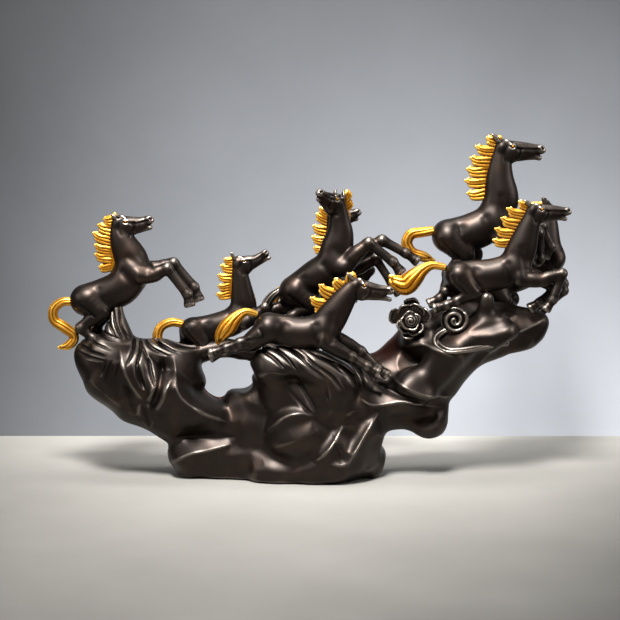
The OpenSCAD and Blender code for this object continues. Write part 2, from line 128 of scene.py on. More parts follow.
@dataclass
class Clay:
    """A block of modelling clay, held as distances to its surface on a grid.

    Attributes:
        low: The block's lowest corner.
        high: The block's highest corner.
        voxel: The grid's spacing, which sets the finest detail.
        far: The distance beyond which the surface is not followed.
    """

    low: np.ndarray
    high: np.ndarray
    voxel: float
    far: float = 6.0
    grid: np.ndarray = field(init=False)
    ticks: list = field(init=False)

    def __post_init__(self) -> None:
        """Sets up an empty block."""
        self.low = vec(self.low)
        count = np.ceil((vec(self.high) - self.low) / self.voxel).astype(int) + 1
        self.grid = np.full(count, self.far, dtype=np.float32)
        self.ticks = [(self.low[i] + self.voxel * np.arange(count[i])).astype(np.float32)
                      for i in range(3)]

    def _window(self, low: np.ndarray, high: np.ndarray) -> tuple:
        """The part of the grid between two corners.

        Args:
            low: The lowest corner.
            high: The highest corner.

        Returns:
            The slices of the grid, and its X, Y and Z values there, shaped to spread over it.
        """
        first = np.clip(np.floor((low - self.low) / self.voxel).astype(int), 0, self.grid.shape)
        last = np.clip(np.ceil((high - self.low) / self.voxel).astype(int) + 1, 0, self.grid.shape)
        cut = tuple(slice(a, b) for a, b in zip(first, last))
        x, y, z = (self.ticks[i][cut[i]] for i in range(3))
        return cut, x[:, None, None], y[None, :, None], z[None, None, :]

    def _merge(self, cut: tuple, distance: np.ndarray, blend: float) -> None:
        """Adds a shape to the clay.

        Args:
            cut: The part of the grid that it reaches.
            distance: The distances to it there.
            blend: How widely the join is rounded.
        """
        old = self.grid[cut]
        near = np.minimum(old, distance)
        if blend > 0:
            h = np.maximum(blend - np.abs(old - distance), 0.0)
            near -= h * h * (ROUNDING / blend)
        self.grid[cut] = near

    def _remove(self, cut: tuple, distance: np.ndarray, blend: float) -> None:
        """Takes a shape away from the clay.

        Args:
            cut: The part of the grid that it reaches.
            distance: The distances to it there.
            blend: How widely the rim is rounded.
        """
        old = self.grid[cut]
        deep = np.maximum(old, -distance)
        if blend > 0:
            h = np.maximum(blend - np.abs(old + distance), 0.0)
            deep += h * h * (ROUNDING / blend)
        self.grid[cut] = deep

    @staticmethod
    def _taper(x: np.ndarray, y: np.ndarray, z: np.ndarray, a: np.ndarray, b: np.ndarray,
               ra: float, rb: float, across: np.ndarray, flat: float) -> np.ndarray:
        """Distance to a tapering round bar, squeezed along one direction.

        Args:
            x: X values of the grid.
            y: Y values of the grid.
            z: Z values of the grid.
            a: The bar's first end.
            b: The bar's second end.
            ra: Radius at the first end.
            rb: Radius at the second end.
            across: The direction that it is squeezed along.
            flat: Its width along that direction as a share of its radius.

        Returns:
            The distances over the grid.
        """
        px, py, pz = x - a[0], y - a[1], z - a[2]
        d = b - a
        if flat != 1.0:
            s = 1.0 / flat - 1.0
            side = px * across[0] + py * across[1] + pz * across[2]
            px = px + s * across[0] * side
            py = py + s * across[1] * side
            pz = pz + s * across[2] * side
            d = d + s * across * float(d @ across)
        length = max(float(d @ d), 1e-9)
        t = np.clip((px * d[0] + py * d[1] + pz * d[2]) / length, 0.0, 1.0)
        qx, qy, qz = px - t * d[0], py - t * d[1], pz - t * d[2]
        reach = np.sqrt(qx * qx + qy * qy + qz * qz)
        gap = reach - (ra + (rb - ra) * t)
        if flat != 1.0:
            tilt = (qx * across[0] + qy * across[1] + qz * across[2]) / np.maximum(reach, 1e-6)
            gap = gap / np.sqrt(1.0 + (1.0 / flat ** 2 - 1.0) * tilt * tilt)
        return gap

    def bar(self, a: Point, b: Point, ra: float, rb: float, blend: float = 0.0, flat: float = 1.0,
            across: Point = Y_AXIS, cut: bool = False) -> None:
        """Adds or cuts a tapering round bar.

        Args:
            a: The bar's first end.
            b: The bar's second end.
            ra: Radius at the first end.
            rb: Radius at the second end.
            blend: How widely the join is rounded.
            flat: Width along the squeezed direction as a share of the radius.
            across: The direction that it is squeezed along.
            cut: Whether it is taken away instead of added.
        """
        a, b = vec(a)[:3], vec(b)[:3]
        margin = self.far + blend
        low = np.minimum(a - ra, b - rb) - margin
        high = np.maximum(a + ra, b + rb) + margin
        place, x, y, z = self._window(low, high)
        if self.grid[place].size == 0:
            return
        distance = self._taper(x, y, z, a, b, ra, rb, unit(across), flat)
        (self._remove if cut else self._merge)(place, distance, blend)

    def ball(self, centre: Point, radius: float, blend: float = 0.0, flat: float = 1.0,
             across: Point = Y_AXIS, cut: bool = False) -> None:
        """Adds or cuts a ball, squeezed along one direction."""
        self.bar(centre, centre, radius, radius, blend, flat, across, cut)

    def limb(self, points: Sequence[Point], radii: Sequence[float], blend: float = 0.0,
             flat: float = 1.0, across: Point = Y_AXIS, steps: int = 4) -> None:
        """Adds a smooth limb through the points, its radius flowing from one to the next.

        Args:
            points: The middle of the limb.
            radii: Its radius at each point.
            blend: How widely it is blended into what is there.
            flat: Width along the squeezed direction as a share of the radius.
            across: The direction that it is squeezed along.
            steps: How many stretches each gap is cut into.
        """
        line = curve([[*p[:3], r] for p, r in zip(points, radii)], steps)
        margin = self.far + blend
        wide = line[:, 3].max() + margin
        low, high = line[:, :3].min(0) - wide, line[:, :3].max(0) + wide
        place, x, y, z = self._window(low, high)
        if self.grid[place].size == 0:
            return
        own = np.full(self.grid[place].shape, self.far + blend, dtype=np.float32)
        whole, self.grid, kept = self.grid, own, self.ticks
        first = [place[i].start for i in range(3)]
        corner, self.low = self.low, self.low + self.voxel * np.array(first)
        self.ticks = [kept[i][place[i]] for i in range(3)]
        for a, b in zip(line[:-1], line[1:]):
            self.bar(a[:3], b[:3], max(a[3], 0.2), max(b[3], 0.2), 0.0, flat, across)
        self.grid, self.ticks, self.low = whole, kept, corner
        self._merge(place, own, blend)

    def engrave(self, points: Sequence[Point], width: float, depth: float, steps: int = 4) -> None:
        """Presses a soft groove along a line in space, or raises a ridge where depth is negative.

        Args:
            points: The line, on or near the surface.
            width: Half width of the groove.
            depth: How deep it is pressed.
            steps: How many stretches each gap is cut into.
        """
        line = curve([p[:3] for p in points], steps) if len(points) > 2 else vec(points)
        margin = GROOVE_REACH * width
        place, x, y, z = self._window(line.min(0) - margin, line.max(0) + margin)
        if self.grid[place].size == 0:
            return
        best = np.full(self.grid[place].shape, 1e6, dtype=np.float32)
        for a, b in zip(line[:-1], line[1:]):
            px, py, pz = x - a[0], y - a[1], z - a[2]
            d = b - a
            t = np.clip((px * d[0] + py * d[1] + pz * d[2]) / max(float(d @ d), 1e-9), 0.0, 1.0)
            best = np.minimum(best, (px - t * d[0]) ** 2 + (py - t * d[1]) ** 2 + (pz - t * d[2]) ** 2)
        self.grid[place] += depth * np.exp(-best / width ** 2)

    def score(self, points: Sequence[Point], width: float, depth: float, side: Side, middle: float,
              taper: float = 0.25, steps: int = 6) -> None:
        """Draws a groove or ridge on one side, as seen straight from the front or the back.

        Args:
            points: X and Z of the line.
            width: Half width of the groove.
            depth: How deep it is pressed; a negative depth raises a ridge.
            side: The side that it is drawn on.
            middle: The Y value that parts the two sides.
            taper: Share of the line over which it fades in and out at its ends.
            steps: How many stretches each gap is cut into.
        """
        line = curve(points, steps)
        margin = (GROOVE_REACH if depth > 0 else RIDGE_REACH) * width
        low = np.array([line[:, 0].min() - margin, self.low[1], line[:, 1].min() - margin])
        high = np.array([line[:, 0].max() + margin, self.ticks[1][-1], line[:, 1].max() + margin])
        if side is Side.FRONT:
            high[1] = middle
        else:
            low[1] = middle
        place, x, _, z = self._window(low, high)
        if self.grid[place].size == 0:
            return
        x, z = x[:, 0, :], z[:, 0, :]
        best = np.full((x.shape[0], z.shape[1]), 1e6, dtype=np.float32)
        along = np.zeros_like(best)
        count = len(line) - 1
        for i, (a, b) in enumerate(zip(line[:-1], line[1:])):
            px, pz = x - a[0], z - a[1]
            d = b - a
            t = np.clip((px * d[0] + pz * d[1]) / max(float(d @ d), 1e-9), 0.0, 1.0)
            gap = (px - t * d[0]) ** 2 + (pz - t * d[1]) ** 2
            nearer = gap < best
            best = np.where(nearer, gap, best)
            along = np.where(nearer, (i + t) / count, along)
        fade = np.clip(np.minimum(along, 1.0 - along) / max(taper, 1e-6), 0.0, 1.0)
        fade *= 2.0 - fade
        spread = width * (0.25 + 0.75 * fade)
        if depth < 0:
            profile = np.exp(-np.sqrt(best + 0.6) / spread)
        else:
            profile = np.exp(-best / spread ** 2)
        press = depth * profile * fade
        self.grid[place] += press[:, None, :].astype(np.float32)

    def front(self, x: float, z: float) -> float | None:
        """Finds the front surface, as seen straight from the front.

        Args:
            x: X of the place.
            z: Z of the place.

        Returns:
            Y of the surface there, or None where there is no clay.
        """
        i, k = (int(round((value - self.low[axis]) / self.voxel)) for value, axis in ((x, 0), (z, 2)))
        if not (0 <= i < self.grid.shape[0] and 0 <= k < self.grid.shape[2]):
            return None
        solid = self.grid[i, :, k] < 0
        return float(self.ticks[1][int(np.argmax(solid))]) if solid.any() else None

    def warp(self, swells: Iterable) -> None:
        """Makes the surface uneven by adding long waves to it.

        Args:
            swells: Height, X, Y and Z turns per millimetre and start of each wave.
        """
        across, deep, up = self.ticks
        x, y, z = across[:, None, None], deep[None, :, None], up[None, None, :]
        for height, along_x, along_y, along_z, start in swells:
            self.grid += height * np.sin(along_x * x + along_y * y + along_z * z + start)

    def floor_at(self, height: float) -> None:
        """Cuts the clay off flat at a height."""
        self.grid = np.maximum(self.grid, (height - self.ticks[2])[None, None, :])

    def soften(self, times: int = 1) -> None:
        """Smooths the whole surface a little, as a wet sponge does.

        Args:
            times: How many times it is gone over.
        """
        for _ in range(times):
            for axis in range(3):
                padded = np.concatenate([self.grid.take([0], axis), self.grid,
                                         self.grid.take([-1], axis)], axis)
                count = self.grid.shape[axis]
                self.grid = (padded.take(range(count), axis) + 2.0 * self.grid
                              + padded.take(range(2, count + 2), axis)) * 0.25

    def refine(self) -> None:
        """Halves the grid's spacing, keeping the shape."""
        for axis in range(3):
            count = self.grid.shape[axis]
            low, high = self.grid.take(range(count - 1), axis), self.grid.take(range(1, count), axis)
            shape = list(self.grid.shape)
            shape[axis] = 2 * count - 1
            finer = np.empty(shape, dtype=np.float32)
            even = [slice(None)] * 3
            even[axis] = slice(0, None, 2)
            finer[tuple(even)] = self.grid
            odd = [slice(None)] * 3
            odd[axis] = slice(1, None, 2)
            finer[tuple(odd)] = (low + high) * 0.5
            self.grid = finer
        self.voxel /= 2
        self.ticks = [(self.low[i] + self.voxel * np.arange(self.grid.shape[i])).astype(np.float32)
                      for i in range(3)]

    def _relief(self, points: np.ndarray, reach: float) -> np.ndarray:
        """How far each surface point stands proud of its surroundings, from -1 to 1.

        Args:
            points: The mesh points, in grid steps.
            reach: How far around a point is looked at, in millimetres.

        Returns:
            One value per point: above 0 on edges, below 0 in grooves.
        """
        steps = max(int(round(reach / self.voxel)), 1)
        blurred = np.clip(self.grid, -reach * 1.6, reach * 1.6)
        for axis in range(3):
            width = 2 * steps + 1
            pads = [(0, 0)] * 3
            pads[axis] = (steps + 1, steps)
            total = np.cumsum(np.pad(blurred, pads, mode="edge"), axis=axis, dtype=np.float32)
            count = self.grid.shape[axis]
            blurred = (total.take(range(width, width + count), axis)
                       - total.take(range(0, count), axis)) / width
        at = np.clip(points, 0, np.array(self.grid.shape) - 1.001)
        low = at.astype(int)
        part = at - low
        value = np.zeros(len(points))
        for corner in range(8):
            step = np.array([corner & 1, corner >> 1 & 1, corner >> 2 & 1])
            weight = np.prod(np.where(step, part, 1.0 - part), axis=1)
            x, y, z = (low + step).T
            value += weight * blurred[x, y, z]
        return np.clip(value / (FULL_RELIEF * reach), -1.0, 1.0)

    def to_piece(self, name: str, smooth: int = 2, reach: float = 2.0,
                 wear_and_painted_light: float = 1.0) -> bpy.types.Object:
        """Meshes the clay as a closed Blender object in metres, with its relief as an attribute.

        Args:
            name: The object's name.
            smooth: How many times the mesh is relaxed.
            reach: How far around a point its relief is looked for, in millimetres.
            wear_and_painted_light: How strongly the finish follows the relief, as worn edges and patina
                and as painted highlight and shade.

        Returns:
            The new object.
        """
        for axis in range(3):
            edge = [slice(None)] * 3
            for end in (0, -1):
                edge[axis] = end
                self.grid[tuple(edge)] = self.far
        volume = openvdb.FloatGrid(self.far)
        volume.copyFromArray(np.clip(self.grid, -self.far, self.far))
        points, quads = volume.convertToQuads(isovalue=0.0)
        # The relief set here colours the finishes: partly worn edges and patina, partly painted
        # highlight and shade.
        relief = wear_and_painted_light * self._relief(points, reach)
        place = (points * self.voxel + self.low) * MM
        a, b, c = (place[quads[:, i]] for i in range(3))
        if np.einsum("ij,ij->i", a, np.cross(b, c)).sum() < 0:
            quads = quads[:, ::-1]
        mesh = bpy.data.meshes.new(name)
        mesh.vertices.add(len(place))
        mesh.vertices.foreach_set("co", place.astype(np.float32).ravel())
        mesh.loops.add(quads.size)
        mesh.loops.foreach_set("vertex_index", quads.astype(np.int32).ravel())
        mesh.polygons.add(len(quads))
        mesh.polygons.foreach_set("loop_start", np.arange(0, quads.size, 4, dtype=np.int32))
        mesh.polygons.foreach_set("use_smooth", np.ones(len(quads), dtype=bool))
        layer = mesh.attributes.new("relief", "FLOAT", "POINT")
        layer.data.foreach_set("value", relief.astype(np.float32))
        mesh.update()
        mesh.validate()
        piece = bpy.data.objects.new(name, mesh)
        bpy.context.scene.collection.objects.link(piece)
        select_only(piece)
        bpy.ops.object.modifier_add(type="SMOOTH")
        piece.modifiers[-1].factor = 0.5
        piece.modifiers[-1].iterations = smooth
        bpy.ops.object.modifier_apply(modifier=piece.modifiers[-1].name)
        return piece


# ---------------------------------------------------------------------------------------------
# Blender helpers


def select_only(piece: bpy.types.Object) -> None:
    """Makes one object the only one selected, and the active one.

    Args:
        piece: The object.
    """
    bpy.ops.object.select_all(action="DESELECT")
    piece.select_set(True)
    bpy.context.view_layer.objects.active = piece


def linear(colour: str) -> tuple:
    """An sRGB hex colour as linear red, green, blue and alpha."""
    parts = [int(colour[i:i + 2], 16) / 255 for i in (1, 3, 5)]
    return tuple(c / 12.92 if c <= 0.04045 else ((c + 0.055) / 1.055) ** 2.4 for c in parts) + (1.0,)


def add_node(tree: bpy.types.NodeTree, kind: str, settings: dict | None = None,
             inputs: dict | None = None) -> bpy.types.Node:
    """Adds a node to a material.

    Args:
        tree: The material's node tree.
        kind: The node's Blender type.
        settings: Values of the node's own properties.
        inputs: For each socket, by name or number, a value or the output to link to it.

    Returns:
        The new node.
    """
    node = tree.nodes.new(kind)
    for name, value in (settings or {}).items():
        setattr(node, name, value)
    for socket, value in (inputs or {}).items():
        if isinstance(value, bpy.types.NodeSocket):
            tree.links.new(value, node.inputs[socket])
        else:
            node.inputs[socket].default_value = value
    return node


def ramp(tree: bpy.types.NodeTree, factor: bpy.types.NodeSocket,
         stops: Iterable) -> bpy.types.NodeSocket:
    """A colour ramp with the given stops.

    Args:
        tree: The material's node tree.
        factor: What picks the colour.
        stops: Pairs of a position and a linear colour.

    Returns:
        The ramp's colour output.
    """
    node = add_node(tree, "ShaderNodeValToRGB", inputs={"Fac": factor})
    elements = node.color_ramp.elements
    stops = list(stops)
    while len(elements) < len(stops):
        elements.new(0.5)
    for element, (position, colour) in zip(elements, stops):
        element.position = position
        element.color = colour
    return node.outputs["Color"]


def new_material(name: str) -> tuple:
    """A new material with its shader.

    Args:
        name: The material's name.

    Returns:
        The material, its node tree, its shader and the place of each point on the object.
    """
    made = bpy.data.materials.new(name)
    made.use_nodes = True
    tree = made.node_tree
    place = add_node(tree, "ShaderNodeTexCoord").outputs["Object"]
    return made, tree, tree.nodes["Principled BSDF"], place


# ---------------------------------------------------------------------------------------------
# Finishes


@dataclass(frozen=True)
class BronzePatina:
    """Cast bronze darkened with a brown-black patina and waxed.

    The casting is smooth to the touch. Raised edges are worn back to a glossier metal and
    painted paler, partly for that worn metal and partly as a painted highlight; the grooves hold a
    matt dark brown, partly patina and partly painted shade. Both follow the relief of each piece.
    The patina stayed red-brown inside the window and on the bar behind the rose.
    """

    base: str = "#302823"
    groove: str = "#120e0b"
    worn_edge_and_highlight: str = "#8a8178"
    blush: str = "#4a3629"
    red: str = "#5f3323"
    red_spots: tuple = ((-0.076, 0.024, 0.104, 0.038), (0.116, 0.016, 0.154, 0.032))

    def material(self) -> bpy.types.Material:
        """Builds the material.

        Returns:
            The material.
        """
        made, tree, shader, place = new_material("bronze_patina")
        relief = add_node(tree, "ShaderNodeAttribute", {"attribute_name": "relief"}).outputs["Fac"]
        cloud = add_node(tree, "ShaderNodeTexNoise", inputs={
            "Vector": place, "Scale": 38.0, "Detail": 3.0, "Roughness": 0.55}).outputs["Fac"]
        grain = add_node(tree, "ShaderNodeTexNoise", inputs={
            "Vector": place, "Scale": 900.0, "Detail": 2.0}).outputs["Fac"]
        uneven = add_node(tree, "ShaderNodeMath", {"operation": "MULTIPLY_ADD"},
                          {0: cloud, 1: 0.5, 2: relief}).outputs[0]
        edge = add_node(tree, "ShaderNodeMapRange", inputs={
            "Value": uneven, "From Min": -0.55, "From Max": 1.15}).outputs[0]
        # Painted light: the palest stop on raised relief is partly a painted highlight, and the darkest
        # stop in the grooves is partly painted shade.
        colour = ramp(tree, edge, [(0.0, linear(self.groove)), (0.38, linear(self.base)),
                                   (0.62, linear(self.base)), (1.0, linear(self.worn_edge_and_highlight))])
        warm = add_node(tree, "ShaderNodeMapRange", inputs={
            "Value": cloud, "From Min": 0.5, "From Max": 0.75, "To Max": 0.5}).outputs[0]
        tinted = add_node(tree, "ShaderNodeMix", {"data_type": "RGBA"},
                          {0: warm, 6: colour, 7: linear(self.blush)}).outputs[2]
        for x, y, z, reach in self.red_spots:
            away = add_node(tree, "ShaderNodeVectorMath", {"operation": "DISTANCE"},
                            {0: place, 1: (x, y, z)}).outputs["Value"]
            share = add_node(tree, "ShaderNodeMapRange", inputs={
                "Value": away, "From Min": reach, "From Max": reach * 0.4, "To Max": 0.85}).outputs[0]
            tinted = add_node(tree, "ShaderNodeMix", {"data_type": "RGBA"},
                              {0: share, 6: tinted, 7: linear(self.red)}).outputs[2]
        tree.links.new(tinted, shader.inputs["Base Color"])
        gloss = add_node(tree, "ShaderNodeMapRange", inputs={
            "Value": edge, "To Min": 0.5, "To Max": 0.36}).outputs[0]
        tree.links.new(gloss, shader.inputs["Roughness"])
        bump = add_node(tree, "ShaderNodeBump", inputs={
            "Strength": 0.05, "Distance": 0.0003, "Height": grain}).outputs[0]
        tree.links.new(bump, shader.inputs["Normal"])
        shader.inputs["Metallic"].default_value = 0.9
        shader.inputs["Coat Weight"].default_value = 0.3
        shader.inputs["Coat Roughness"].default_value = 0.42
        return made


@dataclass(frozen=True)
class Gilding:
    """Gold leaf paint brushed over carved locks, with brown left in the grooves. The raised strands
    are painted paler as a painted highlight, and the groove brown is partly painted shade.
    """

    gold: str = "#b87c20"
    pale: str = "#dcb35c"
    groove: str = "#452005"

    def material(self) -> bpy.types.Material:
        """Builds the material.

        Returns:
            The material.
        """
        made, tree, shader, place = new_material("gilding")
        relief = add_node(tree, "ShaderNodeAttribute", {"attribute_name": "relief"}).outputs["Fac"]
        cloud = add_node(tree, "ShaderNodeTexNoise", inputs={
            "Vector": place, "Scale": 120.0, "Detail": 3.0}).outputs["Fac"]
        uneven = add_node(tree, "ShaderNodeMath", {"operation": "MULTIPLY_ADD"},
                          {0: cloud, 1: 0.5, 2: relief}).outputs[0]
        edge = add_node(tree, "ShaderNodeMapRange", inputs={
            "Value": uneven, "From Min": -0.6, "From Max": 1.4}).outputs[0]
        # Painted light: the pale stop paints a highlight on raised strands, and the groove stop partly
        # paints shade.
        colour = ramp(tree, edge, [(0.08, linear(self.groove)), (0.4, linear(self.gold)),
                                   (0.62, linear(self.gold)), (0.9, linear(self.pale))])
        tree.links.new(colour, shader.inputs["Base Color"])
        brush = add_node(tree, "ShaderNodeTexNoise", inputs={
            "Vector": place, "Scale": 700.0, "Detail": 2.0}).outputs["Fac"]
        bump = add_node(tree, "ShaderNodeBump", inputs={
            "Strength": 0.12, "Distance": 0.0003, "Height": brush}).outputs[0]
        tree.links.new(bump, shader.inputs["Normal"])
        shader.inputs["Metallic"].default_value = 0.75
        shader.inputs["Roughness"].default_value = 0.36
        return made


@dataclass(frozen=True)
class Felt:
    """Thin pressed felt: matt fibres with no shine."""

    colour: str = "#23261f"
    pale: str = "#3a3d33"

    def material(self) -> bpy.types.Material:
        """Builds the material.

        Returns:
            The material.
        """
        made, tree, shader, place = new_material("pressed_felt")
        fibre = add_node(tree, "ShaderNodeTexNoise", inputs={
            "Vector": place, "Scale": 1500.0, "Detail": 4.0}).outputs["Fac"]
        colour = ramp(tree, fibre, [(0.3, linear(self.colour)), (0.7, linear(self.pale))])
        tree.links.new(colour, shader.inputs["Base Color"])
        shader.inputs["Roughness"].default_value = 1.0
        shader.inputs["Sheen Weight"].default_value = 0.3
        return made


@dataclass(frozen=True)
class Steel:
    """Drawn steel rod: bright, with fine lines along it."""

    colour: str = "#a9acb0"

    def material(self) -> bpy.types.Material:
        """Builds the material.

        Returns:
            The material.
        """
        made, tree, shader, place = new_material("drawn_steel")
        along = add_node(tree, "ShaderNodeMapping", inputs={
            "Vector": place, "Scale": (1.0, 1.0, 0.02)}).outputs[0]
        lines = add_node(tree, "ShaderNodeTexNoise", inputs={
            "Vector": along, "Scale": 2500.0}).outputs["Fac"]
        gloss = add_node(tree, "ShaderNodeMapRange", inputs={
            "Value": lines, "To Min": 0.25, "To Max": 0.45}).outputs[0]
        tree.links.new(gloss, shader.inputs["Roughness"])
        shader.inputs["Base Color"].default_value = linear(self.colour)
        shader.inputs["Metallic"].default_value = 1.0
        return made


@dataclass(frozen=True)
class Finishes:
    """The four materials, built once and shared."""

    bronze: bpy.types.Material
    gilding: bpy.types.Material
    felt: bpy.types.Material
    steel: bpy.types.Material


def install(piece: bpy.types.Object, material: bpy.types.Material, slot: Slot, *nodes: str) -> None:
    """Dresses a piece and sets it in the place of its CAD nodes.

    Args:
        piece: The finished piece.
        material: Its material.
        slot: The record's slot for its finish; not used.
        nodes: The CAD nodes that it stands for.
    """
    piece.data.materials.clear()
    piece.data.materials.append(material)
    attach(piece, BODY)
    if nodes:
        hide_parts(*nodes)
    LOG.info("%s: %d faces", piece.name, len(piece.data.polygons))


# ---------------------------------------------------------------------------------------------
# Horses


@dataclass(frozen=True)
class Pose:
    """Where a horse's joints are, from the middle of its barrel, with its near side towards -Y.

    Attributes:
        girth: Half height of its barrel.
        spine: Haunch, loin, barrel, chest.
        neck: Base, middle, throat.
        head: Poll, cheek, nose, muzzle.
        jaw: Hinge, chin, lower lip.
        ear: Root and tip of the near ear.
        near_fore: Shoulder, elbow, knee, fetlock, hoof.
        far_fore: The same on the far side.
        near_hind: Hip, stifle, hock, fetlock, hoof.
        far_hind: The same on the far side.
        tail: X, Y, Z and radius from the dock to the tip.
        crest: Roots of the mane from the poll to the withers.
        locks: Tips of the mane's locks.
    """

    girth: float
    spine: tuple
    neck: tuple
    head: tuple
    jaw: tuple
    ear: tuple
    near_fore: tuple
    far_fore: tuple
    near_hind: tuple
    far_hind: tuple
    tail: tuple
    crest: tuple
    locks: tuple


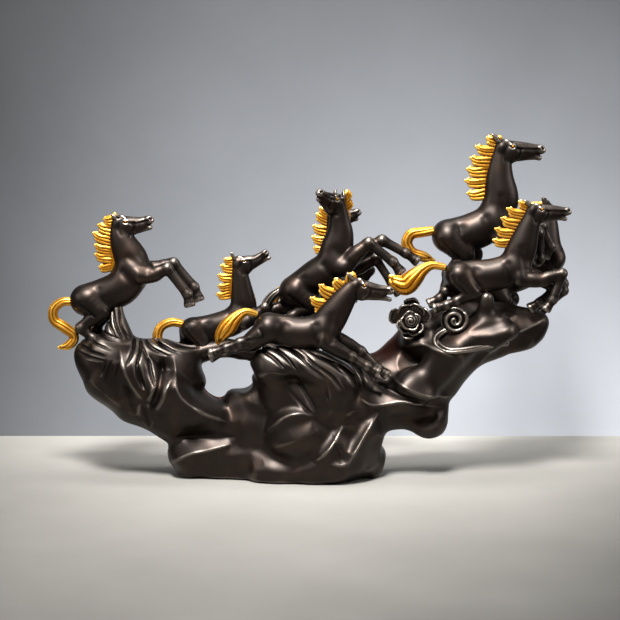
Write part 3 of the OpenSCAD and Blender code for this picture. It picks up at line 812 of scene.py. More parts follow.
POSES = {
    1: Pose(
        19.6,
        ((-40, 0, -14), (-20, 0, -8), (0, 0, 0), (15, 0, 18)),
        ((12, 0, 34), (4, 0, 51), (0, 0, 64)),
        ((-1, 0, 74), (8, 0, 72), (21, 0, 75), (33, 0, 78)),
        ((13, 0, 67), (26, 0, 69), (35, 0, 71)),
        ((-4, -3, 80), (-10, -5, 85)),
        ((22, -9, 15), (38, -9, 16), (54, -9, 24), (77, -9, -6), (79, -9, -15)),
        ((24, 9, 20), (43, 9, 22), (60, 9, 28), (84, 9, 0), (88, 9, -11)),
        ((-37, -6, -14), (-23, -9, -27), (-46, -9, -45), (-32, -9, -57), (-24, -9, -63)),
        ((-36, 6, -16), (-16, 9, -25), (-31, 9, -48), (-21, 9, -59), (-13, 9, -66)),
        ((-56, 0, -16, 4.6), (-67, 0, -16, 5), (-77, 0, -24, 5.5), (-77, 0, -37, 5.8),
         (-65, 0, -46, 6.3), (-54, 0, -56, 5.2), (-60, 0, -66, 5.2), (-73, 0, -70, 2.3)),
        ((-6, 0, 85), (-2, 0, 71), (-7, 0, 55), (-9, 0, 43), (-7, 0, 32), (-11, 0, 21)),
        ((-19, 0, 79), (-26, 0, 73), (-32, 0, 64), (-30, 0, 50), (-30, 0, 39), (-25, 0, 24))),
    2: Pose(
        15.7,
        ((-36, 0, -6), (-19, 0, -4), (0, 0, 0), (16, 0, 7)),
        ((22, 0, 22), (20, 0, 42), (18, 0, 59)),
        ((16, 0, 72), (25, 0, 69), (36, 0, 76), (47, 0, 83)),
        ((30, 0, 68), (42, 0, 74), (52, 0, 79)),
        ((12, -3, 78), (6, -5, 85)),
        ((23, -8, 3), (35, -8, 10), (47, -8, 22), (51, -8, 3), (52, -8, -5)),
        ((24, 8, 6), (39, 8, 13), (54, 8, 22), (69, 8, 1), (74, 8, -6)),
        ((-37, -5, -4), (-25, -7, -19), (-36, -7, -29), (-26, -7, -32), (-19, -7, -33)),
        ((-41, 5, -7), (-43, 7, -21), (-52, 7, -27), (-42, 7, -34), (-35, 7, -37)),
        ((-49, 0, 1, 4.6), (-61, 0, 3, 5.1), (-73, 0, -2, 5.3), (-78, 0, -13, 5.6),
         (-74, 0, -23, 5), (-65, 0, -30, 2.9)),
        ((11, 0, 79), (14, 0, 68), (10, 0, 55), (8, 0, 44), (9, 0, 31)),
        ((-1, 0, 76), (-5, 0, 69), (-8, 0, 58), (-8, 0, 45), (-10, 0, 35))),
    3: Pose(
        18.1,
        ((-36, 0, 7), (-19, 0, 4), (0, 0, 0), (24, 0, 3)),
        ((35, 0, 19), (47, 0, 37), (56, 0, 49)),
        ((62, 0, 55), (71, 0, 49), (87, 0, 50), (100, 0, 49)),
        ((75, 0, 44), (90, 0, 42), (101, 0, 40)),
        ((58, -3, 64), (51, -5, 69)),
        ((24, -9, -6), (40, -9, -16), (57, -9, -25), (75, -9, -36), (84, -9, -41)),
        ((35, 9, -4), (51, 9, -12), (68, 9, -21), (87, 9, -40), (95, 9, -46)),
        ((-37, -7, 5), (-53, -9, -6), (-68, -9, -9), (-84, -9, -15), (-98, -9, -20)),
        ((-40, 7, 2), (-58, 9, -12), (-74, 9, -17), (-87, 9, -22), (-99, 9, -27)),
        ((-50, 0, 22, 3.6), (-62, -2, 25, 4.5), (-73, -3, 18, 7.3), (-82, -4, 8, 9.6),
         (-90, -4, -2, 6.8), (-93, -4, -11, 2.8)),
        ((62, 0, 61), (49, 0, 54), (41, 0, 43), (30, 0, 31), (24, 0, 24)),
        ((59, 0, 70), (38, 0, 63), (20, 0, 56), (10, 0, 41), (16, 0, 29))),
    4: Pose(
        19.4,
        ((-28, 6, -19), (-15, 3, -10), (0, 0, 0), (17, -3, 11)),
        ((20, -5, 30), (24, -6, 48), (23, -7, 65)),
        ((21, -9, 84), (13, -12, 83), (7, -22, 91), (1, -32, 96)),
        ((10, -16, 80), (3, -25, 87), (-1, -32, 91)),
        ((27, -12, 91), (29, -9, 99)),
        ((28, -14, 10), (41, -15, 25), (56, -15, 39), (84, -15, 17), (91, -15, 8)),
        ((29, 6, 16), (50, 6, 26), (72, 6, 40), (100, 6, 25), (110, 6, 18)),
        ((-26, -2, -19), (-8, -4, -34), (-31, -4, -46), (-22, -4, -59), (-17, -4, -69)),
        ((-31, 13, -22), (-33, 15, -37), (-52, 15, -40), (-44, 15, -56), (-36, 15, -65)),
        ((-44, 8, -18, 3.7), (-54, 8, -25, 5.1), (-61, 8, -35, 5.5), (-61, 8, -47, 5.1),
         (-56, 8, -56, 2.8)),
        ((27, -3, 93), (30, -1, 81), (29, 2, 67), (26, 3, 53), (21, 4, 40)),
        ((34, -2, 98), (37, 2, 86), (36, 12, 68), (32, 14, 51), (27, 14, 37))),
    5: Pose(
        17.5,
        ((-27, 0, -22), (-14, 0, -12), (0, 0, 0), (15, 0, 13)),
        ((17, 0, 29), (16, 0, 44), (14, 0, 57)),
        ((12, 0, 67), (20, 0, 65), (31, 0, 69), (39, 0, 71)),
        ((23, 0, 61), (32, 0, 63), (39, 0, 65)),
        ((8, -3, 75), (2, -5, 82)),
        ((23, -9, 4), (41, -9, 7), (61, -9, 18), (79, -9, -10), (86, -9, -20)),
        ((23, 9, 7), (34, 9, -7), (55, 9, 3), (40, 9, -21), (36, 9, -29)),
        ((-24, -6, -23), (-8, -8, -37), (-24, -8, -51), (-20, -8, -64), (-16, -8, -73)),
        ((-25, 6, -24), (1, 8, -37), (-10, 8, -53), (-6, 8, -66), (-2, 8, -75)),
        ((-42, 0, -18, 4), (-51, 2, -21, 5.1), (-58, 4, -31, 5.6), (-60, 4, -43, 5.4),
         (-54, 4, -53, 3)),
        ((8, 0, 75), (8, 0, 63), (7, 0, 50), (6, 0, 36), (5, 0, 23)),
        ((-5, 0, 77), (-9, 0, 70), (-13, 0, 56), (-14, 0, 43), (-12, 0, 30))),
    6: Pose(
        17.7,
        ((-37, 0, -1), (-19, 0, 0), (0, 0, 0), (25, 0, 7)),
        ((33, 0, 29), (39, 0, 48), (44, 0, 63)),
        ((46, 0, 73), (55, 0, 70), (71, 0, 73), (84, 0, 72)),
        ((59, 0, 66), (72, 0, 66), (83, 0, 65)),
        ((42, -3, 80), (35, -5, 85)),
        ((31, -9, -3), (53, -9, -5), (79, -9, 3), (69, -9, -27), (63, -9, -35)),
        ((37, 9, 4), (55, 9, -5), (75, 9, -16), (56, 9, -32), (48, 9, -37)),
        ((-37, -7, -1), (-22, -9, -18), (-39, -9, -28), (-51, -9, -33), (-62, -9, -36)),
        ((-40, 7, -4), (-35, 9, -21), (-51, 9, -19), (-58, 9, -27), (-67, 9, -32)),
        ((-53, 0, 9, 3.8), (-67, 0, 11, 4.7), (-78, -1, 6, 7), (-88, -2, -3, 10.2),
         (-98, -2, -11, 11.3), (-109, -2, -7, 7.9), (-115, -2, -1, 3.4)),
        ((46, 0, 81), (44, 0, 71), (34, 0, 58), (29, 0, 45), (21, 0, 32)),
        ((29, 0, 84), (15, 0, 76), (9, 0, 65), (2, 0, 53), (0, 0, 40))),
    7: Pose(
        20.6,
        ((-28, 0, -5), (-15, 0, -3), (0, 0, 0), (24, 0, 11)),
        ((32, 0, 38), (30, 0, 61), (31, 0, 80)),
        ((33, 0, 96), (44, 0, 92), (62, 0, 95), (76, 0, 94)),
        ((49, 0, 87), (64, 0, 87), (76, 0, 86)),
        ((27, -4, 106), (19, -6, 112)),
        ((30, -10, -4), (51, -10, -7), (74, -10, 0), (76, -10, -30), (72, -10, -39)),
        ((32, 10, 1), (55, 10, 3), (80, 10, 6), (91, 10, -18), (86, 10, -26)),
        ((-28, -8, -8), (-9, -10, -27), (-29, -10, -47), (-31, -10, -62), (-36, -10, -75)),
        ((-27, 8, -9), (2, 10, -27), (-11, 10, -48), (-10, 10, -64), (-12, 10, -77)),
        ((-46, 0, 1, 5.1), (-60, 0, -1, 5.7), (-71, 0, -3, 6.2), (-76, 0, -13, 6.2),
         (-70, 0, -24, 6), (-57, 0, -29, 5.8), (-45, 0, -33, 3.5)),
        ((30, 0, 108), (28, 0, 93), (19, 0, 76), (17, 0, 58), (17, 0, 40)),
        ((14, 0, 108), (1, 0, 98), (-5, 0, 85), (-9, 0, 72), (-11, 0, 59), (-8, 0, 44))),
    8: Pose(
        17.5,
        ((-37, 0, -16), (-20, 0, -9), (0, 0, 0), (30, 0, 16)),
        ((25, 0, 36), (26, 2, 54), (26, 4, 68)),
        ((25, 6, 76), (28, 14, 73), (33, 28, 73), (37, 38, 72)),
        ((30, 17, 68), (34, 28, 67), (37, 37, 67)),
        ((22, 0, 83), (19, -3, 89)),
        ((27, -8, 6), (38, -8, -7), (46, -8, -20), (28, -8, -37), (21, -8, -44)),
        ((34, 8, 7), (41, 8, -4), (48, 8, -14), (33, 8, -34), (26, 8, -42)),
        ((-38, -6, -17), (-24, -8, -32), (-40, -8, -45), (-35, -8, -56), (-30, -8, -65)),
        ((-37, 6, -18), (-13, 8, -32), (-27, 8, -46), (-20, 8, -58), (-15, 8, -67)),
        ((-53, 0, -13, 4.2), (-63, 0, -16, 5.2), (-70, 0, -26, 5.6), (-70, 0, -38, 5.4),
         (-63, 0, -47, 3.1)),
        ((19, 0, 82), (19, 0, 70), (18, 0, 56), (16, 0, 42), (14, 0, 29)),
        ((8, 0, 81), (5, 0, 73), (3, 0, 59), (2, 0, 45), (1, 0, 31))),
}


@dataclass
class Horse:
    """One horse: its body, mane and tail castings and its eyes.

    Attributes:
        number: Its number in the frame's node names.
        pose: Where its joints are.
        finishes: The shared materials.
        voxel: The clay's grid spacing.
        flat: Width of the trunk as a share of its height.
        hair_voxel: The grid spacing of the mane and tail, which have finer detail.
        lock_strands: Strands in each lock of the mane.
        tail_strands: Strands in the tail.
        bronze_tail: Number of the horse whose tail wasn't gilded.
        origin: The middle of the barrel.
    """

    number: int
    pose: Pose
    finishes: Finishes
    voxel: float = 0.8
    flat: float = 0.8
    hair_voxel: float = 0.6
    lock_strands: int = 6
    tail_strands: int = 8
    bronze_tail: int = 4
    origin: np.ndarray = field(init=False)

    def __post_init__(self) -> None:
        """Finds where the middle of the barrel stands, from the CAD horse's highest corner."""
        high = vec(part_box(f"horse_{self.number}")[1]) / MM
        self.origin = high - self._reach()

    def _reach(self) -> np.ndarray:
        """The highest corner of the CAD horse, from the middle of its barrel.

        Returns:
            The corner, found from the knobs that stand out farthest.
        """
        p, g = self.pose, self.pose.girth
        shin = g / 20.6 * 5.0
        knobs = [(p.head[3], 0.27 * g), (p.jaw[2], 0.13 * g), (p.ear[1], 0.05 * g), (p.spine[3], g),
                 (p.spine[2], g), (p.head[0], 0.45 * g)]
        for leg in (p.near_fore, p.far_fore):
            knobs += [(leg[2], 0.3 * g), (leg[4], 1.15 * shin), (leg[3], 0.94 * shin)]
        high = [[c[0] + r, c[1] + r * self.flat, c[2] + r] for c, r in knobs]
        return np.max(high, axis=0)

    def at(self, point: Point) -> np.ndarray:
        """A point of the pose in the frame."""
        return vec(point)[:3] + self.origin

    def _head_side(self) -> np.ndarray:
        """The direction across the head, towards the horse's far side."""
        ahead = vec(self.pose.head[3]) - vec(self.pose.head[0])
        return -unit(np.cross(ahead, Z_AXIS))

    def _block(self, points: Iterable, margin: float, voxel: float | None = None) -> Clay:
        """A block of clay that holds all the given points."""
        p = np.array([self.at(q) for q in points])
        return Clay(p.min(0) - margin, p.max(0) + margin, voxel or self.voxel)

    def build(self) -> None:
        """Sculpts and installs the horse's pieces."""
        n = self.number
        body = self._sculpt_body()
        install(body.to_piece(f"horse_{n}_body"), self.finishes.bronze, Slot.BRONZE, f"horse_{n}")
        mane = self._sculpt_mane()
        install(mane.to_piece(f"horse_{n}_mane", smooth=1, reach=1.4), self.finishes.gilding,
                Slot.GILDING, f"mane_{n}")
        tail = self._sculpt_tail()
        dark = n == self.bronze_tail
        install(tail.to_piece(f"horse_{n}_tail", smooth=1, reach=1.4),
                self.finishes.bronze if dark else self.finishes.gilding,
                Slot.BRONZE if dark else Slot.GILDING, f"tail_{n}")
        self._set_eyes()

    # -- body ---------------------------------------------------------------------------------

    def _sculpt_body(self) -> Clay:
        """Models the horse without its mane and tail.

        Returns:
            The clay.
        """
        p, g = self.pose, self.pose.girth
        everything = (*p.spine, *p.neck, *p.head, *p.jaw, *p.ear, *p.near_fore, *p.far_fore,
                      *p.near_hind, *p.far_hind)
        clay = self._block(everything, g * 1.05 + 3)
        self._trunk(clay)
        self._neck_and_head(clay)
        for fore, hind in ((p.near_fore, p.near_hind), (p.far_fore, p.far_hind)):
            self._foreleg(clay, fore)
            self._hindleg(clay, hind)
        clay.soften()
        self._muscle_lines(clay)
        self._face(clay)
        return clay

    @staticmethod
    def _over(ahead: np.ndarray) -> np.ndarray:
        """The direction up out of the back, at right angles to the direction ahead."""
        over = unit(np.cross(ahead, Y_AXIS))
        return over if over[2] > 0 else -over

    def _trunk(self, clay: Clay) -> None:
        """Barrel, loin, haunch and chest.

        Args:
            clay: The horse's clay.
        """
        p, g = self.pose, self.pose.girth
        spine = [self.at(q) for q in p.spine]
        clay.limb(spine, [0.94 * g, 0.98 * g, 1.06 * g, 1.02 * g], 0, self.flat, steps=6)
        ahead = unit(spine[3] - spine[2])
        over = self._over(ahead)
        for sign in (-1, 1):
            side = Y_AXIS * sign
            clay.ball(spine[0] + side * 0.34 * g + over * 0.14 * g, 0.66 * g, 0.3 * g, 0.72)
            clay.ball(spine[3] + ahead * 0.46 * g + side * 0.3 * g - over * 0.12 * g, 0.52 * g,
                      0.25 * g, 0.8)
            blade = spine[3] + over * 0.55 * g - ahead * 0.16 * g + side * 0.36 * g
            shoulder = spine[3] - over * 0.34 * g + ahead * 0.24 * g + side * 0.56 * g
            clay.bar(blade, shoulder, 0.26 * g, 0.42 * g, 0.2 * g, 0.6)

    def _head_frame(self) -> tuple:
        """The directions of the head.

        Returns:
            Ahead along the nose, over the brow, and across to the far side.
        """
        p = self.pose
        side = self._head_side()
        ahead = unit(vec(p.head[3]) - vec(p.head[0]))
        over = unit(np.cross(side, ahead))
        if over @ (vec(p.head[0]) - vec(p.jaw[0])) < 0:
            over = -over
        return ahead, over, side

    def _neck_and_head(self, clay: Clay) -> None:
        """Neck, skull, jaw and ears.

        Args:
            clay: The horse's clay.
        """
        p, g = self.pose, self.pose.girth
        spine, neck, head, jaw = ([self.at(q) for q in row] for row in (p.spine, p.neck, p.head, p.jaw))
        root = spine[3] * 0.6 + neck[0] * 0.4
        clay.limb([root, *neck, head[0]], [0.98 * g, 0.98 * g, 0.78 * g, 0.6 * g, 0.45 * g],
                  0.3 * g, 0.66, steps=6)
        ahead, over, side = self._head_frame()
        clay.limb([head[0], head[0] * 0.4 + head[2] * 0.6, head[2], head[3]],
                  [0.44 * g, 0.4 * g, 0.34 * g, 0.26 * g], 0.12 * g, 0.8, side)
        clay.ball(head[1] - over * 0.1 * g, 0.5 * g, 0.14 * g, 0.66, side)
        clay.ball(head[1] - over * 0.22 * g - ahead * 0.1 * g, 0.44 * g, 0.1 * g, 0.6, side)
        nose = head[3] + ahead * 0.02 * g + over * 0.03 * g
        clay.ball(nose, 0.25 * g, 0.08 * g, 0.95, side)
        clay.ball(head[3] + ahead * 0.17 * g - over * 0.05 * g, 0.15 * g, 0.08 * g, 1.1, side)
        lips = (head[2] + jaw[1]) / 2
        clay.limb([head[1] - over * 0.1 * g, lips, lips + ahead * 0.16 * g],
                  [0.4 * g, 0.3 * g, 0.22 * g], 0.12 * g, 0.8, side)
        drop = -over * 0.06 * g
        chin = [jaw[0], jaw[1] + drop * 0.5, jaw[2] + drop]
        clay.limb([head[1] * 0.5 + jaw[0] * 0.5, *chin], [0.36 * g, 0.32 * g, 0.21 * g, 0.13 * g],
                  0.05 * g, 0.85, side)
        clay.ball(chin[2] - over * 0.03 * g - ahead * 0.05 * g, 0.14 * g, 0.04 * g, 0.95, side)
        ear_root, ear_tip = (self.at(q) for q in p.ear)
        middle = head[0] @ side
        for mirror in (False, True):
            low, high = (q - 2 * ((q @ side) - middle) * side if mirror else q
                         for q in (ear_root, ear_tip))
            belly = low * 0.55 + high * 0.45 + ahead * 0.05 * g
            clay.limb([head[0] * 0.45 + low * 0.55, low, belly, high],
                      [0.17 * g, 0.16 * g, 0.15 * g, 0.05 * g], 0.08 * g, 0.75, side)
            hollow = ahead * 0.12 * g
            clay.bar(low + hollow, high * 0.75 + low * 0.25 + hollow, 0.07 * g, 0.03 * g, 0.02 * g,
                     cut=True)
        lock = head[0] + over * 0.36 * g
        for turn in (-1, 0, 1):
            out = side * turn * 0.16 * g
            clay.limb([lock - ahead * 0.06 * g, lock + ahead * 0.2 * g + out * 0.6 + over * 0.05 * g,
                       lock + ahead * 0.36 * g + out - over * 0.04 * g,
                       lock + ahead * (0.5 + 0.08 * turn) * g + out * 1.5 - over * 0.06 * g],
                      [0.1 * g, 0.11 * g, 0.08 * g, 0.05 * g], 0.03 * g)

    def _foreleg(self, clay: Clay, leg: Sequence[Point]) -> None:
        """One foreleg from the shoulder to the hoof.

        Args:
            clay: The horse's clay.
            leg: Shoulder, elbow, knee, fetlock and hoof.
        """
        g = self.pose.girth
        shoulder, elbow, knee, fetlock, hoof = (self.at(q) for q in leg)
        swell = elbow * 0.6 + knee * 0.4
        clay.limb([shoulder, elbow, swell, knee], [0.54 * g, 0.46 * g, 0.42 * g, 0.31 * g],
                  0.2 * g, 0.85)
        self._lower_leg(clay, knee, fetlock, hoof)

    def _hindleg(self, clay: Clay, leg: Sequence[Point]) -> None:
        """One hind leg from the hip to the hoof.

        Args:
            clay: The horse's clay.
            leg: Hip, stifle, hock, fetlock and hoof.
        """
        g = self.pose.girth
        hip, stifle, hock, fetlock, hoof = (self.at(q) for q in leg)
        gaskin = stifle * 0.5 + hock * 0.5
        clay.limb([hip, stifle * 0.85 + hip * 0.15, stifle * 0.9 + hock * 0.1, gaskin, hock],
                  [0.78 * g, 0.62 * g, 0.53 * g, 0.4 * g, 0.29 * g], 0.24 * g, 0.8)
        back = unit(hock * 2 - stifle - fetlock)
        clay.ball(hock + back * 0.1 * g, 0.2 * g, 0.1 * g, 0.8)
        self._lower_leg(clay, hock, fetlock, hoof)

    def _lower_leg(self, clay: Clay, joint: np.ndarray, fetlock: np.ndarray, hoof: np.ndarray) -> None:
        """Knee or hock, cannon, fetlock, pastern and hoof.

        Args:
            clay: The horse's clay.
            joint: The knee or hock.
            fetlock: The fetlock.
            hoof: The hoof.
        """
        g = self.pose.girth
        down = unit(fetlock - joint)
        toe = unit(hoof - fetlock)
        shaft = joint * 0.5 + fetlock * 0.5
        clay.ball(joint, 0.31 * g, 0.16 * g, 0.92)
        clay.limb([joint + down * 0.08 * g, shaft, fetlock], [0.31 * g, 0.285 * g, 0.29 * g],
                  0.14 * g, 0.92)
        clay.ball(fetlock, 0.3 * g, 0.14 * g, 0.92)
        clay.bar(fetlock, hoof, 0.27 * g, 0.28 * g, 0.08 * g, 0.92)
        clay.bar(hoof - toe * 0.04 * g, hoof + toe * 0.14 * g, 0.31 * g, 0.36 * g, 0.04 * g, 0.92)
        clay.ball(hoof + toe * 1.78 * g, 1.5 * g, 0.06 * g, cut=True)

    def _muscle_lines(self, clay: Clay) -> None:
        """The soft valleys between the horse's muscles.

        Args:
            clay: The horse's clay.
        """
        p, g = self.pose, self.pose.girth
        spine, neck = [self.at(q) for q in p.spine], [self.at(q) for q in p.neck]
        ahead = unit(spine[3] - spine[1])
        over = self._over(ahead)
        for sign, fore, hind in ((-1, p.near_fore, p.near_hind), (1, p.far_fore, p.far_hind)):
            side = Y_AXIS * sign * 0.8 * g
            flank = spine[1] + side * 0.85
            clay.engrave([flank + over * 0.35 * g + ahead * 0.1 * g,
                          flank - over * 0.05 * g - ahead * 0.1 * g,
                          flank - over * 0.55 * g + ahead * 0.1 * g], 0.3 * g, 0.09 * g)
            behind = spine[3] - ahead * 0.42 * g + side * 0.92
            clay.engrave([behind + over * 0.4 * g, behind, behind - over * 0.55 * g + ahead * 0.1 * g],
                         0.24 * g, 0.08 * g)
            shoulder = self.at(fore[0]) + Y_AXIS * sign * 0.3 * g
            clay.engrave([neck[0] + side * 0.62 + over * 0.1 * g,
                          shoulder + ahead * 0.42 * g + over * 0.3 * g,
                          shoulder + ahead * 0.5 * g - over * 0.1 * g], 0.24 * g, 0.06 * g)
            stifle, hip = self.at(hind[1]), self.at(hind[0])
            rump = hip + Y_AXIS * sign * 0.55 * g
            clay.engrave([rump - ahead * 0.45 * g + over * 0.1 * g,
                          rump - ahead * 0.3 * g - over * 0.35 * g,
                          stifle + Y_AXIS * sign * 0.3 * g - ahead * 0.35 * g], 0.12 * g, 0.06 * g)

    def _face(self, clay: Clay) -> None:
        """Brow, cheek line, nostrils and the slit of the mouth.

        Args:
            clay: The horse's clay.
        """
        p, g = self.pose, self.pose.girth
        head = [self.at(q) for q in p.head]
        ahead, over, side = self._head_frame()

        def spot(base: np.ndarray, forward: float, up: float, out: float) -> np.ndarray:
            """A point of the head, moved by shares of the girth."""
            return base + (ahead * forward + over * up + side * out) * g

        for sign in (-1, 1):
            eye = self._eye(sign)
            clay.ball(eye, 0.11 * g, 0.04 * g, cut=True)
            clay.bar(spot(eye, -0.12, 0.08, 0), spot(eye, 0.12, 0.06, 0), 0.07 * g, 0.05 * g, 0.05 * g)
            clay.engrave([spot(eye, 0.2, -0.12, 0), spot(head[2], 0, -0.02, 0.2 * sign),
                          spot(head[3], 0, 0.02, 0.17 * sign)], 0.08 * g, 0.045 * g)
            cheek = head[1] + side * sign * 0.3 * g
            clay.engrave([spot(cheek, 0.44, 0.1, 0), spot(cheek, 0.4, -0.2, 0),
                          spot(cheek, 0.1, -0.6, 0)], 0.08 * g, 0.07 * g)
            clay.engrave([spot(cheek, -0.3, 0.3, 0), spot(cheek, -0.5, -0.1, 0),
                          spot(cheek, -0.4, -0.5, 0)], 0.14 * g, 0.05 * g)
            clay.bar(spot(head[3], 0.16, 0.07, 0.17 * sign), spot(head[3], 0.05, 0.12, 0.17 * sign),
                     0.075 * g, 0.04 * g, 0.02 * g, cut=True)

    def _eye(self, sign: int) -> np.ndarray:
        """The middle of one eye.

        Args:
            sign: -1 for the near eye and 1 for the far eye.

        Returns:
            Its place in the frame.
        """
        head = [self.at(q) for q in self.pose.head]
        _, over, side = self._head_frame()
        return head[0] * 0.62 + head[2] * 0.38 + (over * 0.12 + side * sign * 0.27) * self.pose.girth

    def _set_eyes(self) -> None:
        """Sets two small gilded eyes in their sockets."""
        g = self.pose.girth
        made = []
        for sign in (-1, 1):
            bpy.ops.mesh.primitive_uv_sphere_add(segments=20, ring_count=12, radius=0.075 * g * MM,
                                                 location=tuple(self._eye(sign) * MM))
            eye = bpy.context.object
            bpy.ops.object.transform_apply(location=True, rotation=True, scale=True)
            made.append(eye)
        select_only(made[0])
        made[1].select_set(True)
        bpy.ops.object.join()
        piece = made[0]
        piece.name = f"horse_{self.number}_eyes"
        bpy.ops.object.shade_smooth()
        install(piece, self.finishes.gilding, Slot.GILDING)

    # -- mane and tail ------------------------------------------------------------------------

    def _sculpt_mane(self) -> Clay:
        """Models the mane as locks of strands that curl up at their blunt tips.

        Returns:
            The clay.
        """
        p = self.pose
        share = p.girth / 20
        roots = curve([self.at(q) for q in p.crest], 8)
        tips = [self.at(q) for q in p.locks]
        clay = self._block((*p.crest, *p.locks), 9, self.hair_voxel)

        def crest(t: float) -> np.ndarray:
            """The point at a share of the crest's length."""
            return roots[int(round(min(max(t, 0.0), 1.0) * (len(roots) - 1)))]

        count = len(tips)
        for i, tip in enumerate(tips):
            fan = unit(crest((i + 1) / count) - crest(i / count))
            for k in range(self.lock_strands):
                root = crest((i + (k + 0.5) / self.lock_strands) / count)
                step = 2 * k / (self.lock_strands - 1) - 1
                self._strand(clay, root, tip, step, Y_AXIS * (-1 if k % 2 else 1), fan)
        clay.limb(list(roots), [2.4 * share] * len(roots), 1.0, 0.9, steps=1)
        fill = [crest((i + 0.5) / count) * 0.66 + tip * 0.34 for i, tip in enumerate(tips)]
        clay.limb(fill, [2.0 * share] * len(fill), 0.5, 0.8)
        return clay

    def _strand(self, clay: Clay, root: np.ndarray, tip: np.ndarray, step: float, side: np.ndarray,
                fan: np.ndarray) -> None:
        """Adds one strand of a lock, which dips and then curls up to the lock's blunt tip.

        Args:
            clay: The mane's clay.
            root: Where it leaves the crest.
            tip: Where the lock ends.
            step: Its place in the lock, from -1 at the top to 1 at the bottom.
            side: The side of the lock that it lies towards.
            fan: The direction along the crest, down the neck.
        """
        share = self.pose.girth / 20
        lean = tip - root
        length = float(np.linalg.norm(lean))
        down = unit(fan - unit(lean) * float(fan @ unit(lean)))
        end = root + lean * (1.0 - 0.2 * abs(step)) + down * step * 2.0 * share
        out = side * 0.5 * share
        line = [root, root + lean * 0.3 + down * (0.06 * length + 1.6 * step * share) + out,
                root + lean * 0.68 + down * (0.1 * length + 2.2 * step * share) + out, end]
        clay.limb(line, [2.3 * share, 2.4 * share, 2.1 * share, 1.15 * share], 0.2, 0.9)

    def _sculpt_tail(self) -> Clay:
        """Models the tail as a twisting bundle of strands with parted tips.

        Returns:
            The clay.
        """
        p = self.pose
        clay = self._block([q[:3] for q in p.tail], 14, self.hair_voxel)
        line = curve([[*self.at(q), q[3]] for q in p.tail], 6)
        path, wide = line[:, :3], line[:, 3]
        along = np.linspace(0, 1, len(path))
        run = np.gradient(path, axis=0)
        strands = self.tail_strands
        for k in range(strands):
            points, radii = [], []
            last = len(path) - (k * 3 % strands) // 2
            for i in range(0, last, 2):
                turn = 2 * math.pi * k / strands + along[i] * 1.1
                across = unit(np.cross(run[i], Y_AXIS))
                bundle = wide[i] * 0.66
                offset = across * math.cos(turn) * bundle + Y_AXIS * math.sin(turn) * bundle * self.flat
                points.append(path[i] + offset)
                radii.append(max(wide[i] * 0.4, 0.8))
            radii[-1] *= 0.6
            clay.limb(points, radii, 0.3, 1.0, steps=2)
        clay.limb(path[::2], wide[::2] * 0.62, 0.5, self.flat, steps=2)
        return clay


# ---------------------------------------------------------------------------------------------
# Rock


